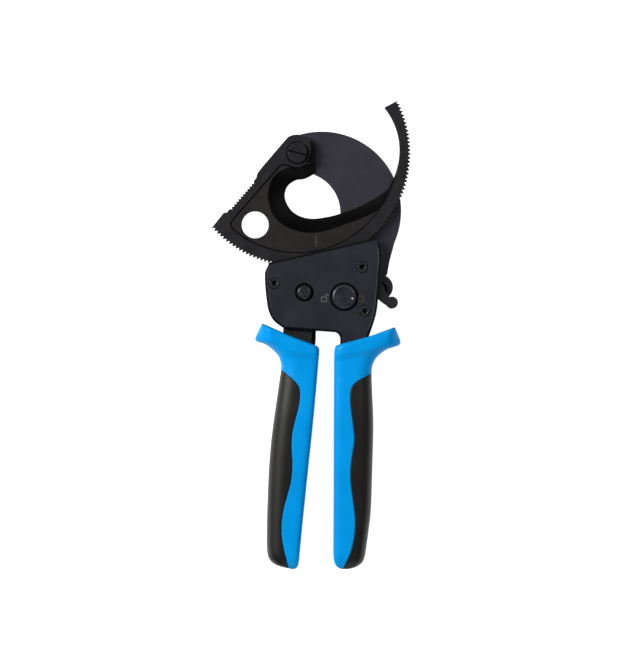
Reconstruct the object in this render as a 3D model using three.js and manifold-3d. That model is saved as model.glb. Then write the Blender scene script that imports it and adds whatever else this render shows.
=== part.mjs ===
// A ratcheting cable cutter, lying on its back with its handles closed and locked.
//
// Millimetres. The origin is on the axis of the blade pivot, in the plane the tool lies on.
// +X points to the side of the fixed handle, +Y from the handles to the head, and +Z out of
// the front cover. From back to front the head is: the fixed blade's plate, the moving
// blade's layer (which also holds the pawls, the spacers and the moving handle), the cover.

import * as THREE from 'three';
import { mergeVertices } from 'three/addons/utils/BufferGeometryUtils.js';
import Module from 'manifold-3d';

const wasm = await Module();
wasm.setup();

// ---------------------------------------------------------------- driving dimensions

const GAP = 0.3; // clearance between neighbouring pieces

// Layers, as heights above the plane the tool lies on
const PLATE_BACK = 4;
const PLATE_FRONT = 9.5;
const BLADE_BACK = PLATE_FRONT + GAP;
const BLADE_FRONT = 14.7;
const PANEL_LEVEL = 14.1; // floor of the blade's recessed panel
const COVER_BACK = BLADE_FRONT + GAP;
const COVER_FRONT = 18.2;
const GRIP_THICKNESS = 22;
const LINK_BACK = 9.9; // moving handle and pawls, inside the blade's layer
const LINK_MIDDLE = 12.0; // the handle's ear lies below this, the drive pawl above it
const LINK_FRONT = 14.6;

// Pivot of the blades
const PIVOT_SHAFT_R = 4;
const PIVOT_BUSH_R = 5.2;
const PIVOT_HEAD_R = 5.75;
const PIVOT_HEAD_FRONT = 17.4;
const PIVOT_SLOT_ANGLE = -14;
const PIVOT_NUT_R = 7.4;

// Ratchet ring on the moving blade, centred on the pivot
const RATCHET_TIP_R = 65.2;
const TOOTH_DEPTH = 1.5;
const TOOTH_COUNT = 83;
const TOOTH_FACE_SHARE = 0.35; // part of the pitch taken by a tooth's steep face
const RATCHET_START = -138.8;
const RATCHET_END = 27.6;
const RIM_R = 57.6; // inner edge of the raised rim

// The moving blade's other features
const FINGER_HOLE = { x: -24.15, y: -41.1, r: 7.75 };
const TAIL_ARC = { x: 20.2, y: 1.6, r: 38.6, from: 39.4, to: -36 };
const BOSS_R = 10.6;
const THUMB_GRIP = { from: [-25.0, -16.2], to: [-38.8, -32.2], teeth: 11, depth: 1.15 };
const EDGE_LAND = 0.4; // flat left behind each cutting edge

// Cutting edge of the moving blade, from the pivot to the tail, and the line where its
// hollow-ground bevel meets the blade's panel, point for point
const CUTTING_EDGE = [
  [10.2, -11.5], [4.4, -14.5], [-0.9, -15.4], [-5.3, -18.5], [-7.1, -22.9], [-6.6, -27.3],
  [-3.6, -32.5], [1.7, -36.1], [8.8, -37.5], [17.6, -36.4], [25.3, -34.4], [35.2, -31.2],
  [44.9, -26.9], [51.4, -21.1],
];
const BEVEL_LINE = [
  [8.4, -5.0], [1.6, -8.6], [-5.6, -8.4], [-13.2, -13.2], [-16.4, -20.6], [-16.4, -28.2],
  [-13.0, -36.8], [-5.0, -43.0], [6.0, -45.8], [17.6, -44.9], [27.0, -41.8], [37.0, -37.8],
  [47.2, -33.0], [54.4, -23.6],
];

// Fixed blade: a hook round a circular throat
const THROAT = { x: 1.5, y: -34, r: 23.3, from: -102, to: 68 };
const THROAT_BEVEL = { width: 6, from: -58, to: 76 };
const HOOK_BACK = { x: 14.1, y: -33, r: 45.7, from: 115, to: -23.5 };
const FIXED_BOSS_R = 9.9;
const EAR = { x: 47.9, y: -76.9, r: 7.2 };
const EAR_POCKET = [ // behind the release lever
  [48.2, -73.6], [49.9, -74.1], [51.2, -75.7], [51.8, -77.4], [51.5, -79.2], [50.6, -80.7],
  [48.6, -79.6],
];
const EAR_POCKET_FLOOR = 6.5;

// Body outline, shared by the fixed blade's plate and the front cover
const COVER_TOP_LEFT = [-16.0, -63.0];
const COVER_TOP_RIGHT = [45.3, -48.8];
const BODY_LEFT_SIDE = [
  [-18.5, -68.5], [-18.4, -75], [-17.4, -84.9], [-16.2, -91], [-13.2, -96.4], [-7.2, -100.9],
];
const BODY_RIGHT_SIDE = [
  [47.4, -53.0], [48.2, -60.5], [47.3, -70.4], [46.6, -80.3], [45.6, -90.2], [43.6, -98],
  [40.8, -106],
];
const CROTCH = { x: 20.9, y: -106.6, r: 3.9 }; // inside corner above the fixed tang
const TANG = { left: 27, right: 38, plateEnd: -190, coverEnd: -140, top: -113 };

// Fasteners that hold the cover on
const COVER_SCREWS = [
  { name: 'left', x: -13.1, y: -74.7 },
  { name: 'top_right', x: 37.2, y: -65.4 },
  { name: 'bottom_right', x: 38.8, y: -90.5 },
];
const SCREW_SHAFT_R = 2;
const SCREW_HEAD_R = 3.2;
const SCREW_HEAD_BACK = 16.2;
const SCREW_HEAD_FRONT = 17.7;
const SOCKET_R = 1.9;
const SOCKET_DEPTH = 1.1;
const SPACER_R = 3.7;
const TANG_RIVETS = [-119, -133];
const RIVET_R = 2;

// Moving handle
const HANDLE_PIVOT = { x: 4.1, y: -80.0 };
const HANDLE_PIN_R = 3;
const HANDLE_PIN_HEAD_R = 3.9;
const HANDLE_PIN_RECESS_R = 5.5;
const RECESS_FLOOR = COVER_FRONT - 0.8; // in the cover, for the pin's head and the lock knob
const HANDLE_HUB_R = 8;
const HANDLE_HUB_FRONT_R = 5.2;
const PAWL_PIVOT = { x: HANDLE_PIVOT.x + 10.14, y: HANDLE_PIVOT.y - 2.72 };
const EAR_R = 4.2;

// Drive pawl
const DRIVE_PAWL_LENGTH = 26;
const PAWL_HUB_R = 4;
const PAWL_PIN_R = 1.8;
const TIP_CLEARANCE = 0.3; // a pawl's tip is drawn at the top of its click

// Lock knob and its cam
const LOCK = { x: 26.9, y: -82.5 };
const LOCK_KNOB_R = 7.0;
const LOCK_RECESS_R = 8.2;
const LOCK_KNOB_BACK = 18.3;
const LOCK_KNOB_FRONT = 20.6;
const LOCK_SHAFT_R = 3.5;
const LOCK_NOSE_R = 8;
const LOCK_NOSE_ANGLE = 192;

// Holding pawl, in one piece with the release lever
const HOLD_PIVOT = { x: 43.5, y: -73.5 };
const LEVER_BALL = { x: 54.4, y: -85.8, r: 3.45 };

// Grips: outlines of the left and right sides of each, from the guard's tip to the end
const LEFT_GRIP = {
  left: [
    [-20.2, -97.9], [-22.6, -102.5], [-24.0, -107.6], [-18.1, -109.9], [-11.9, -115.1],
    [-9.7, -119.4], [-9.3, -124.3], [-10.6, -133.5], [-14.4, -160.5], [-16.2, -180.8],
    [-17.2, -204.5], [-17.5, -221.9], [-17.1, -230.0], [-15.6, -233.8], [-12.6, -236.2],
    [-8.9, -237.4], [-4.4, -238.3], [-2.8, -238.6],
  ],
  right: [
    [-19.4, -97.9], [-11.6, -101.4], [-3.1, -105.2], [9.3, -109.8], [12.4, -111.6],
    [12.7, -115.0], [12.3, -119.4], [10.4, -141.7], [8.6, -160.5], [5.8, -187],
    [3.3, -211.4], [1.7, -227.9], [1.1, -234.2], [0.2, -237.2], [-1.0, -238.3],
    [-2.2, -238.6],
  ],
  softEdge: [
    [-9.3, -124.3], [-3.1, -129.1], [0.9, -133.5], [1.8, -138.0], [1.0, -145.5],
    [-2.3, -158.5], [-3.1, -167.6], [-2.6, -177.4], [-3.3, -187.7], [-5.6, -196.5],
    [-8.0, -205.5], [-8.9, -214.5], [-8.0, -224.0], [-4.7, -237.9], [-4.2, -242],
  ],
  softSide: -40,
};
const RIGHT_GRIP = {
  left: [
    [55.2, -100.1], [48.5, -102.6], [40.9, -105.3], [24.0, -109.8], [21.9, -111.6],
    [21.3, -116.0], [21.1, -141.7], [21.0, -160], [20.9, -187], [20.8, -211],
    [20.7, -229], [21.0, -233.7], [22.2, -236.6], [24.4, -238.2], [26.5, -238.6],
  ],
  right: [
    [56.2, -100.1], [58.0, -104.0], [59.1, -109.8], [51.5, -112.8], [46.2, -116.8],
    [43.6, -121.2], [42.8, -126.5], [43.1, -137], [43.8, -156], [43.2, -180.8],
    [42.4, -204.4], [40.9, -218.0], [39.8, -226.1], [38.9, -231.6], [37.4, -235.0],
    [34.2, -237.4], [31.0, -238.3], [29.0, -238.6],
  ],
  softEdge: [
    [42.7, -126.5], [36.5, -129.5], [32.1, -132.7], [30.4, -137.5], [30.6, -145.5],
    [32.4, -159.5], [32.5, -165.5], [30.6, -179.0], [30.6, -188.5], [32.3, -201.7],
    [33.2, -210.5], [32.7, -219.0], [30.6, -228.0], [26.3, -238.3], [25.4, -242],
  ],
  softSide: 80,
};
const SOFT_THICKNESS = 1.8; // of the soft overmould
const SOFT_TOP = -122;
const GUARD_STEP = 1.3; // how far the neck lies behind the guard's face
const GRIP_SIDES = 20; // of a section
const GRIP_SQUARENESS = 3.4; // exponent of the section's superellipse

// ---------------------------------------------------------------- materials

function finish(colour, roughness, metalness) {
  return new THREE.MeshStandardMaterial({ color: colour, roughness, metalness });
}

const MATERIALS = {
  fixedSteel: finish('#3c3a45', 0.5, 0.7),
  bladeSteel: finish('#2b2827', 0.5, 0.7),
  coverSteel: finish('#2d2f38', 0.6, 0.5),
  fastener: finish('#26262b', 0.35, 0.8),
  brightSteel: finish('#8d9096', 0.35, 0.9),
  linkSteel: finish('#36373b', 0.45, 0.8),
  springSteel: finish('#9a9ca0', 0.3, 0.9),
  bushBronze: finish('#a5773f', 0.4, 0.8),
  lever: finish('#232327', 0.5, 0.5),
  hardGrip: finish('#0096eb', 0.45, 0),
  softGrip: finish('#2a2929', 0.8, 0),
};

// ---------------------------------------------------------------- points and outlines

function point([x, y]) {
  return new THREE.Vector2(x, y);
}

function polar(r, degrees, x = 0, y = 0) {
  const angle = THREE.MathUtils.degToRad(degrees);
  return new THREE.Vector2(x + r * Math.cos(angle), y + r * Math.sin(angle));
}

function arc(circle, from, to, steps) {
  const points = [];
  for (let i = 0; i <= steps; i += 1) {
    points.push(polar(circle.r, from + ((to - from) * i) / steps, circle.x, circle.y));
  }
  return points;
}

function spline(points, steps) {
  return new THREE.SplineCurve(points.map(point)).getPoints(steps);
}

// A point at (along, across) of a line that starts at `start` and runs at `degrees`
function offset(start, degrees, along, across) {
  const angle = THREE.MathUtils.degToRad(degrees);
  const x = start.x + along * Math.cos(angle) - across * Math.sin(angle);
  const y = start.y + along * Math.sin(angle) + across * Math.cos(angle);
  return new THREE.Vector2(x, y);
}

// ---------------------------------------------------------------- solids

function solid(geometry) {
  geometry.deleteAttribute('normal');
  geometry.deleteAttribute('uv');
  const merged = mergeVertices(geometry, 1e-4);
  const vertProperties = new Float32Array(merged.attributes.position.array);
  const triVerts = new Uint32Array(merged.index.array);
  return new wasm.Manifold(new wasm.Mesh({ numProp: 3, vertProperties, triVerts }));
}

function plate(points, back, front) {
  const shape = new THREE.Shape(points);
  const geometry = new THREE.ExtrudeGeometry(shape, {
    depth: front - back,
    bevelEnabled: false,
  });
  geometry.translate(0, 0, back);
  return solid(geometry);
}

function rod(centre, r, back, front, sides = 32) {
  const geometry = new THREE.CylinderGeometry(r, r, front - back, sides);
  geometry.rotateX(Math.PI / 2);
  geometry.translate(centre.x, centre.y, (front + back) / 2);
  return solid(geometry);
}

// A turned piece on an upright axis: pairs of radius and height, from axis to axis
function turned(centre, profile, sides = 40) {
  const points = profile.map(([r, z]) => new THREE.Vector2(r, z));
  const geometry = new THREE.LatheGeometry(points, sides);
  geometry.rotateX(Math.PI / 2);
  geometry.translate(centre.x, centre.y, 0);
  return solid(geometry);
}

function box(x0, x1, y0, y1, z0, z1) {
  const geometry = new THREE.BoxGeometry(x1 - x0, y1 - y0, z1 - z0);
  geometry.translate((x0 + x1) / 2, (y0 + y1) / 2, (z0 + z1) / 2);
  return solid(geometry);
}

// A closed body through rings of points that all have the same count. `capFaces` gives the
// triangles that close a ring.
function loft(rings, capFaces) {
  const count = rings[0].length;
  const last = (rings.length - 1) * count;
  const positions = rings.flat().flatMap((p) => [p.x, p.y, p.z]);
  const indices = [];
  for (let level = 0; level < last; level += count) {
    for (let i = 0; i < count; i += 1) {
      const a = level + i;
      const b = level + ((i + 1) % count);
      indices.push(a, b, b + count, a, b + count, a + count);
    }
  }
  capFaces(rings[0]).forEach(([a, b, c]) => indices.push(a, c, b));
  capFaces(rings.at(-1)).forEach(([a, b, c]) => indices.push(last + a, last + b, last + c));
  const geometry = new THREE.BufferGeometry();
  geometry.setAttribute('position', new THREE.Float32BufferAttribute(positions, 3));
  geometry.setIndex(indices);
  return solid(geometry);
}

// A helix of round wire about an axis
class HelixCurve extends THREE.Curve {
  constructor(start, direction, radius, length, turns) {
    super();
    this.start = start;
    this.direction = direction.clone().normalize();
    this.across = new THREE.Vector3(this.direction.y, -this.direction.x, 0);
    if (this.across.lengthSq() < 0.5) this.across.set(1, 0, 0);
    this.up = new THREE.Vector3().crossVectors(this.direction, this.across);
    this.radius = radius;
    this.length = length;
    this.turns = turns;
  }

  getPoint(t, target = new THREE.Vector3()) {
    const angle = 2 * Math.PI * this.turns * t;
    target.copy(this.start);
    target.addScaledVector(this.direction, this.length * t);
    target.addScaledVector(this.across, this.radius * Math.cos(angle));
    target.addScaledVector(this.up, this.radius * Math.sin(angle));
    return target;
  }
}

function coil(start, direction, { radius, wire, length, turns }) {
  const section = new THREE.Shape(arc({ x: 0, y: 0, r: wire / 2 }, 0, 300, 5));
  const geometry = new THREE.ExtrudeGeometry(section, {
    extrudePath: new HelixCurve(start, direction, radius, length, turns),
    steps: Math.round(turns * 14),
    bevelEnabled: false,
  });
  return solid(geometry);
}

const assembly = new THREE.Group();

function place(name, body, material) {
  const result = body.getMesh();
  const geometry = new THREE.BufferGeometry();
  const positions = new THREE.Float32BufferAttribute(result.vertProperties, 3);
  geometry.setAttribute('position', positions);
  geometry.setIndex(new THREE.BufferAttribute(new Uint32Array(result.triVerts), 1));
  geometry.computeVertexNormals();
  const mesh = new THREE.Mesh(geometry, material);
  mesh.name = name;
  assembly.add(mesh);
}

// ---------------------------------------------------------------- moving blade

function ratchetTeeth() {
  const pitch = (RATCHET_END - RATCHET_START) / TOOTH_COUNT;
  const points = [polar(RATCHET_TIP_R, RATCHET_START)];
  for (let i = 1; i <= TOOTH_COUNT; i += 1) {
    const tip = RATCHET_START + i * pitch;
    points.push(polar(RATCHET_TIP_R - TOOTH_DEPTH, tip - TOOTH_FACE_SHARE * pitch));
    points.push(polar(RATCHET_TIP_R, tip));
  }
  return points;
}

function thumbSerrations() {
  const from = point(THUMB_GRIP.from);
  const to = point(THUMB_GRIP.to);
  const inward = new THREE.Vector2(from.y - to.y, to.x - from.x).normalize();
  const points = [];
  for (let i = 0; i < THUMB_GRIP.teeth; i += 1) {
    const valley = from.clone().lerp(to, (i + 0.5) / THUMB_GRIP.teeth);
    points.push(from.clone().lerp(to, i / THUMB_GRIP.teeth));
    points.push(valley.addScaledVector(inward, THUMB_GRIP.depth));
  }
  points.push(to);
  return points;
}

function bladeOutline() {
  return [
    ...ratchetTeeth(),
    ...arc(TAIL_ARC, TAIL_ARC.from, TAIL_ARC.to, 14),
    ...spline(CUTTING_EDGE, 39).reverse().slice(1),
    point([10.6, -5.3]),
    ...arc({ x: 0, y: 0, r: BOSS_R }, 0, 119, 12),
    point([-22.0, -10.5]),
    point([-23.4, -14.2]),
    ...thumbSerrations(),
    point([-40.5, -34.2]),
    point([-42.1, -34.2]),
  ];
}

// The space above the hollow-ground bevel and towards the opening
function bevelCutter() {
  const edge = spline(CUTTING_EDGE, 39);
  const line = spline(BEVEL_LINE, 39);
  const openSide = [point([46, -12]), point([13.5, -7])];
  const back = BLADE_BACK + EDGE_LAND;
  const front = BLADE_FRONT + 1;
  const reach = (front - back) / (PANEL_LEVEL - back);
  const lower = [...edge, ...openSide];
  const upper = [...edge.map((p, i) => p.clone().lerp(line[i], reach)), ...openSide];
  const ringAt = (points, z) => points.map((p) => new THREE.Vector3(p.x, p.y, z));
  const rings = [ringAt(lower, back), ringAt(upper, front)];
  if (THREE.ShapeUtils.isClockWise(lower)) rings.forEach((ring) => ring.reverse());
  return loft(rings, (ring) => THREE.ShapeUtils.triangulateShape(ring, []));
}

// The recessed panel, from the step beside the pivot boss to the raised rim
function panelCutter() {
  return plate([
    point([12.5, 8]), point([7.3, 6.2]), point([7.9, 0.9]), point([5.2, -5.7]),
    point([1.3, -8.1]), point([-2.6, -7.4]), point([-7.9, -6.2]), point([-10.6, -7.5]),
    point([-37.9, -38.7]), point([-38.5, -41.2]), point([-37.2, -43.9]),
    ...arc({ x: 0, y: 0, r: RIM_R }, -130, -34, 20),
    point([46, -12]), point([13.5, -7]),
  ], PANEL_LEVEL, BLADE_FRONT + 1);
}

function movingBlade() {
  return plate(bladeOutline(), BLADE_BACK, BLADE_FRONT)
    .subtract(panelCutter())
    .subtract(bevelCutter())
    .subtract(rod(FINGER_HOLE, FINGER_HOLE.r, 0, GRIP_THICKNESS, 40))
    .subtract(rod({ x: 0, y: 0 }, PIVOT_BUSH_R + GAP, 0, GRIP_THICKNESS, 40));
}

place('moving_blade', movingBlade(), MATERIALS.bladeSteel);

// ---------------------------------------------------------------- plates of the body

function crotchArc() {
  return arc(CROTCH, 86, 0, 5);
}

function tangOutline(end) {
  return [
    point([CROTCH.x + CROTCH.r, TANG.top + 3]),
    point([TANG.left, TANG.top - 2]),
    point([TANG.left, end + 2]),
    point([TANG.left + 2, end]),
    point([TANG.right - 2, end]),
    point([TANG.right, end + 2]),
    point([TANG.right, TANG.top - 2]),
  ];
}

function fixedBladeOutline() {
  return [
    ...arc(HOOK_BACK, HOOK_BACK.from, HOOK_BACK.to, 26),
    point([53.1, -62.2]),
    point([51.8, -69.4]),
    ...spline(BODY_RIGHT_SIDE, 18).slice(8),
    ...tangOutline(TANG.plateEnd).reverse(),
    ...crotchArc().reverse(),
    ...spline(BODY_LEFT_SIDE, 14).reverse(),
    point(COVER_TOP_LEFT),
    ...arc(THROAT, THROAT.from, THROAT.to, 30),
    ...arc({ x: 0, y: 0, r: FIXED_BOSS_R }, -52, -238, 16),
  ];
}

function fixedBlade() {
  const ground = plate([
    point([THROAT.x, THROAT.y]),
    ...arc({ ...THROAT, r: 3 * THROAT.r }, THROAT_BEVEL.from, THROAT_BEVEL.to, 4),
  ], 0, GRIP_THICKNESS);
  const bevel = turned(THROAT, [
    [0, PLATE_BACK - 1],
    [THROAT.r + THROAT_BEVEL.width + 1, PLATE_BACK - 1],
    [THROAT.r, PLATE_FRONT - EDGE_LAND],
    [0, PLATE_FRONT - EDGE_LAND],
  ], 72).intersect(ground);
  let body = plate(fixedBladeOutline(), PLATE_BACK, PLATE_FRONT)
    .add(rod(EAR, EAR.r, PLATE_BACK, PLATE_FRONT, 32))
    .subtract(plate(EAR_POCKET.map(point), EAR_POCKET_FLOOR, GRIP_THICKNESS))
    .subtract(bevel)
    .subtract(rod({ x: 0, y: 0 }, PIVOT_SHAFT_R + GAP, 0, GRIP_THICKNESS))
    .subtract(rod(HANDLE_PIVOT, HANDLE_PIN_R + GAP, 0, GRIP_THICKNESS))
    .subtract(rod(LOCK, 2.3 + GAP, 6, GRIP_THICKNESS, 24))
    .subtract(rod(HOLD_PIVOT, PAWL_PIN_R + GAP, 0, GRIP_THICKNESS, 20));
  COVER_SCREWS.forEach((screw) => {
    body = body.subtract(rod(screw, SCREW_SHAFT_R + GAP, 0, GRIP_THICKNESS, 20));
  });
  TANG_RIVETS.forEach((y) => {
    body = body.subtract(rod({ x: 32.5, y }, RIVET_R + GAP, 0, GRIP_THICKNESS, 20));
  });
  return body;
}

function coverOutline() {
  return [
    point(COVER_TOP_RIGHT),
    ...spline(BODY_RIGHT_SIDE, 18),
    ...tangOutline(TANG.coverEnd).reverse(),
    ...crotchArc().reverse(),
    ...spline(BODY_LEFT_SIDE, 14).reverse(),
    point(COVER_TOP_LEFT),
  ];
}

function frontCover() {
  let body = plate(coverOutline(), COVER_BACK, COVER_FRONT)
    .subtract(rod(HANDLE_PIVOT, HANDLE_PIN_R + GAP, 0, GRIP_THICKNESS))
    .subtract(rod(HANDLE_PIVOT, HANDLE_PIN_RECESS_R, RECESS_FLOOR, GRIP_THICKNESS))
    .subtract(rod(LOCK, LOCK_SHAFT_R + GAP, 0, GRIP_THICKNESS))
    .subtract(rod(LOCK, LOCK_RECESS_R, RECESS_FLOOR, GRIP_THICKNESS, 36));
  COVER_SCREWS.forEach((screw) => {
    body = body
      .subtract(rod(screw, SCREW_SHAFT_R + GAP, 0, GRIP_THICKNESS, 20))
      .subtract(rod(screw, SCREW_HEAD_R + GAP, SCREW_HEAD_BACK - GAP, GRIP_THICKNESS, 28));
  });
  TANG_RIVETS.forEach((y) => {
    body = body.subtract(rod({ x: 32.5, y }, RIVET_R + GAP, 0, GRIP_THICKNESS, 20));
  });
  return body;
}

function tangSpacer() {
  let body = plate([
    point([28.5, -107.5]), point([38, -107.5]), point([37.5, -138]), point([27.5, -138]),
    point([27.5, -114]),
  ], BLADE_BACK, BLADE_FRONT);
  TANG_RIVETS.forEach((y) => {
    body = body.subtract(rod({ x: 32.5, y }, RIVET_R + GAP, 0, GRIP_THICKNESS, 20));
  });
  return body;
}

place('fixed_blade', fixedBlade(), MATERIALS.fixedSteel);
place('front_cover', frontCover(), MATERIALS.coverSteel);
place('tang_spacer', tangSpacer(), MATERIALS.linkSteel);

// ---------------------------------------------------------------- fasteners and spacers

function capScrew(screw) {
  const socket = new THREE.CylinderGeometry(SOCKET_R, SOCKET_R, 2 * SOCKET_DEPTH, 6);
  socket.rotateX(Math.PI / 2);
  socket.translate(screw.x, screw.y, SCREW_HEAD_FRONT);
  return turned(screw, [
    [0, PLATE_BACK + GAP],
    [SCREW_SHAFT_R, PLATE_BACK + GAP],
    [SCREW_SHAFT_R, SCREW_HEAD_BACK],
    [SCREW_HEAD_R, SCREW_HEAD_BACK],
    [SCREW_HEAD_R, SCREW_HEAD_FRONT],
    [0, SCREW_HEAD_FRONT],
  ], 24).subtract(solid(socket));
}

function ring(centre, innerR, outerR, back, front, sides = 28) {
  return rod(centre, outerR, back, front, sides)
    .subtract(rod(centre, innerR, back - 1, front + 1, sides));
}

COVER_SCREWS.forEach((screw) => {
  place(`cover_screw_${screw.name}`, capScrew(screw), MATERIALS.fastener);
  const spacer = ring(screw, SCREW_SHAFT_R + GAP, SPACER_R, BLADE_BACK, BLADE_FRONT);
  place(`spacer_${screw.name}`, spacer, MATERIALS.linkSteel);
});

TANG_RIVETS.forEach((y, i) => {
  const rivet = rod({ x: 32.5, y }, RIVET_R, PLATE_BACK, COVER_FRONT, 20);
  place(`tang_rivet_${i + 1}`, rivet, MATERIALS.brightSteel);
});

function pivotBolt() {
  const slot = new THREE.BoxGeometry(3 * PIVOT_HEAD_R, 1.2, 2.4);
  slot.rotateZ(THREE.MathUtils.degToRad(PIVOT_SLOT_ANGLE));
  slot.translate(0, 0, PIVOT_HEAD_FRONT);
  return turned({ x: 0, y: 0 }, [
    [0, 0],
    [PIVOT_SHAFT_R, 0],
    [PIVOT_SHAFT_R, COVER_BACK],
    [PIVOT_HEAD_R, COVER_BACK],
    [PIVOT_HEAD_R, PIVOT_HEAD_FRONT - 0.5],
    [PIVOT_HEAD_R - 0.5, PIVOT_HEAD_FRONT],
    [0, PIVOT_HEAD_FRONT],
  ]).subtract(solid(slot));
}

function pivotNut() {
  const back = 0.5;
  const hexagon = rod({ x: 0, y: 0 }, PIVOT_NUT_R, back, PLATE_BACK - GAP, 6);
  return hexagon.subtract(rod({ x: 0, y: 0 }, PIVOT_SHAFT_R + GAP, 0, PLATE_BACK));
}

place('pivot_bolt', pivotBolt(), MATERIALS.fastener);
place('pivot_nut', pivotNut(), MATERIALS.fastener);
place(
  'pivot_bush',
  ring({ x: 0, y: 0 }, PIVOT_SHAFT_R + GAP, PIVOT_BUSH_R, BLADE_BACK, BLADE_FRONT),
  MATERIALS.bushBronze,
);

// ---------------------------------------------------------------- moving handle

// Outline of the handle's bar, down its left side and up its right, widened by `margin`
function shankOutline(margin = 0) {
  const left = [[-7.6, -88], [-8.2, -108], [-7.9, -113], [-5.2, -119], [-5.6, -134], [-10, -192]];
  const right = [[0.6, -192], [6.6, -125], [9.9, -114], [10.6, -108], [11.2, -88]];
  return [
    ...left.map(([x, y]) => point([x - margin, y - margin])),
    ...right.map(([x, y]) => point([x + margin, y - margin])),
  ];
}

function hullBetween(a, ra, b, rb, back, front) {
  const towards = THREE.MathUtils.radToDeg(Math.atan2(b.y - a.y, b.x - a.x));
  const points = [
    ...arc({ ...a, r: ra }, towards + 90, towards + 270, 10),
    ...arc({ ...b, r: rb }, towards - 90, towards + 90, 10),
  ];
  return plate(points, back, front);
}

function handleShank() {
  return plate(shankOutline(), LINK_BACK, LINK_FRONT - 0.1)
    .add(rod(HANDLE_PIVOT, HANDLE_HUB_R, LINK_BACK, LINK_MIDDLE))
    .add(hullBetween(HANDLE_PIVOT, 6, PAWL_PIVOT, EAR_R, LINK_BACK, LINK_MIDDLE))
    .add(plate([[-3.9, -80], [-7.6, -88.5], [11.2, -88.5], [12.1, -80]].map(point),
      LINK_BACK, LINK_MIDDLE))
    .add(plate([[-1.1, -80], [-7.6, -88.5], [7.6, -88.5], [9.3, -80]].map(point),
      LINK_MIDDLE - 1, LINK_FRONT - 0.1))
    .add(rod(HANDLE_PIVOT, HANDLE_HUB_FRONT_R, LINK_MIDDLE - 1, LINK_FRONT - 0.1))
    .subtract(rod(PAWL_PIVOT, PAWL_HUB_R + GAP, LINK_MIDDLE, LINK_FRONT + 1))
    .subtract(rod(HANDLE_PIVOT, HANDLE_PIN_R + GAP, 0, GRIP_THICKNESS))
    .subtract(rod(HANDLE_PIVOT, 5.6, LINK_BACK - 1, 11.4))
    .subtract(rod(PAWL_PIVOT, PAWL_PIN_R + GAP, 0, GRIP_THICKNESS, 20));
}

function handlePivotPin() {
  return turned(HANDLE_PIVOT, [
    [0, 2.2],
    [HANDLE_PIN_R, 2.2],
    [HANDLE_PIN_R, RECESS_FLOOR + GAP],
    [HANDLE_PIN_HEAD_R, RECESS_FLOOR + GAP],
    [HANDLE_PIN_HEAD_R, COVER_FRONT + 0.6],
    [HANDLE_PIN_HEAD_R - 0.5, COVER_FRONT + 1.1],
    [0, COVER_FRONT + 1.1],
  ], 32);
}

function retainingRing() {
  const { x, y } = HANDLE_PIVOT;
  return ring(HANDLE_PIVOT, HANDLE_PIN_R + GAP, 5.4, 2.7, PLATE_BACK - GAP)
    .subtract(box(x - 1.2, x + 1.2, y - 7, y, 0, PLATE_BACK));
}

place('handle_shank', handleShank(), MATERIALS.linkSteel);
place('handle_pivot_pin', handlePivotPin(), MATERIALS.fastener);
place('handle_pivot_clip', retainingRing(), MATERIALS.brightSteel);
place(
  'handle_return_spring',
  coil(
    new THREE.Vector3(HANDLE_PIVOT.x, HANDLE_PIVOT.y, 10.2),
    new THREE.Vector3(0, 0, 1),
    { radius: 4.5, wire: 0.45, length: 0.85, turns: 1.4 },
  ),
  MATERIALS.springSteel,
);

// ---------------------------------------------------------------- drive pawl

// Direction from the pawl's pivot at which its tip is just clear of the ratchet's teeth
function drivePawlAngle() {
  const reach = Math.hypot(PAWL_PIVOT.x, PAWL_PIVOT.y);
  const tipR = RATCHET_TIP_R + TIP_CLEARANCE;
  const cosine = (reach ** 2 + DRIVE_PAWL_LENGTH ** 2 - tipR ** 2)
    / (2 * reach * DRIVE_PAWL_LENGTH);
  const towardsOrigin = Math.atan2(-PAWL_PIVOT.y, -PAWL_PIVOT.x);
  return THREE.MathUtils.radToDeg(towardsOrigin - Math.acos(cosine));
}

function drivePawl() {
  const along = drivePawlAngle();
  const arm = [
    offset(PAWL_PIVOT, along, 0, -3.2),
    offset(PAWL_PIVOT, along, 14, -3.0),
    offset(PAWL_PIVOT, along, 22, -3.4),
    offset(PAWL_PIVOT, along, DRIVE_PAWL_LENGTH - 0.6, -2.6),
    offset(PAWL_PIVOT, along, DRIVE_PAWL_LENGTH, 0),
    offset(PAWL_PIVOT, along, 22.4, 1.7),
    offset(PAWL_PIVOT, along, 14, 2.2),
    offset(PAWL_PIVOT, along, 0, 2.6),
  ];
  return plate(arm, LINK_MIDDLE + GAP, LINK_FRONT)
    .add(rod(PAWL_PIVOT, PAWL_HUB_R, LINK_MIDDLE + GAP, LINK_FRONT))
    .subtract(rod(PAWL_PIVOT, PAWL_PIN_R + GAP, 0, GRIP_THICKNESS, 20))
    .subtract(rod(PAWL_PIVOT, 3.3, 13.4, GRIP_THICKNESS, 24));
}

place('drive_pawl', drivePawl(), MATERIALS.brightSteel);
place(
  'drive_pawl_pin',
  rod(PAWL_PIVOT, PAWL_PIN_R, LINK_BACK, LINK_FRONT, 20),
  MATERIALS.brightSteel,
);
place(
  'drive_pawl_spring',
  coil(
    new THREE.Vector3(PAWL_PIVOT.x, PAWL_PIVOT.y, 13.85),
    new THREE.Vector3(0, 0, 1),
    { radius: 2.65, wire: 0.35, length: 0.5, turns: 1.2 },
  ),
  MATERIALS.springSteel,
);

// ---------------------------------------------------------------- lock

function lockKnob() {
  return turned(LOCK, [
    [0, LOCK_KNOB_BACK],
    [LOCK_KNOB_R, LOCK_KNOB_BACK],
    [LOCK_KNOB_R, LOCK_KNOB_FRONT - 0.8],
    [LOCK_KNOB_R - 0.8, LOCK_KNOB_FRONT],
    [0, LOCK_KNOB_FRONT],
  ]);
}

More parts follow.
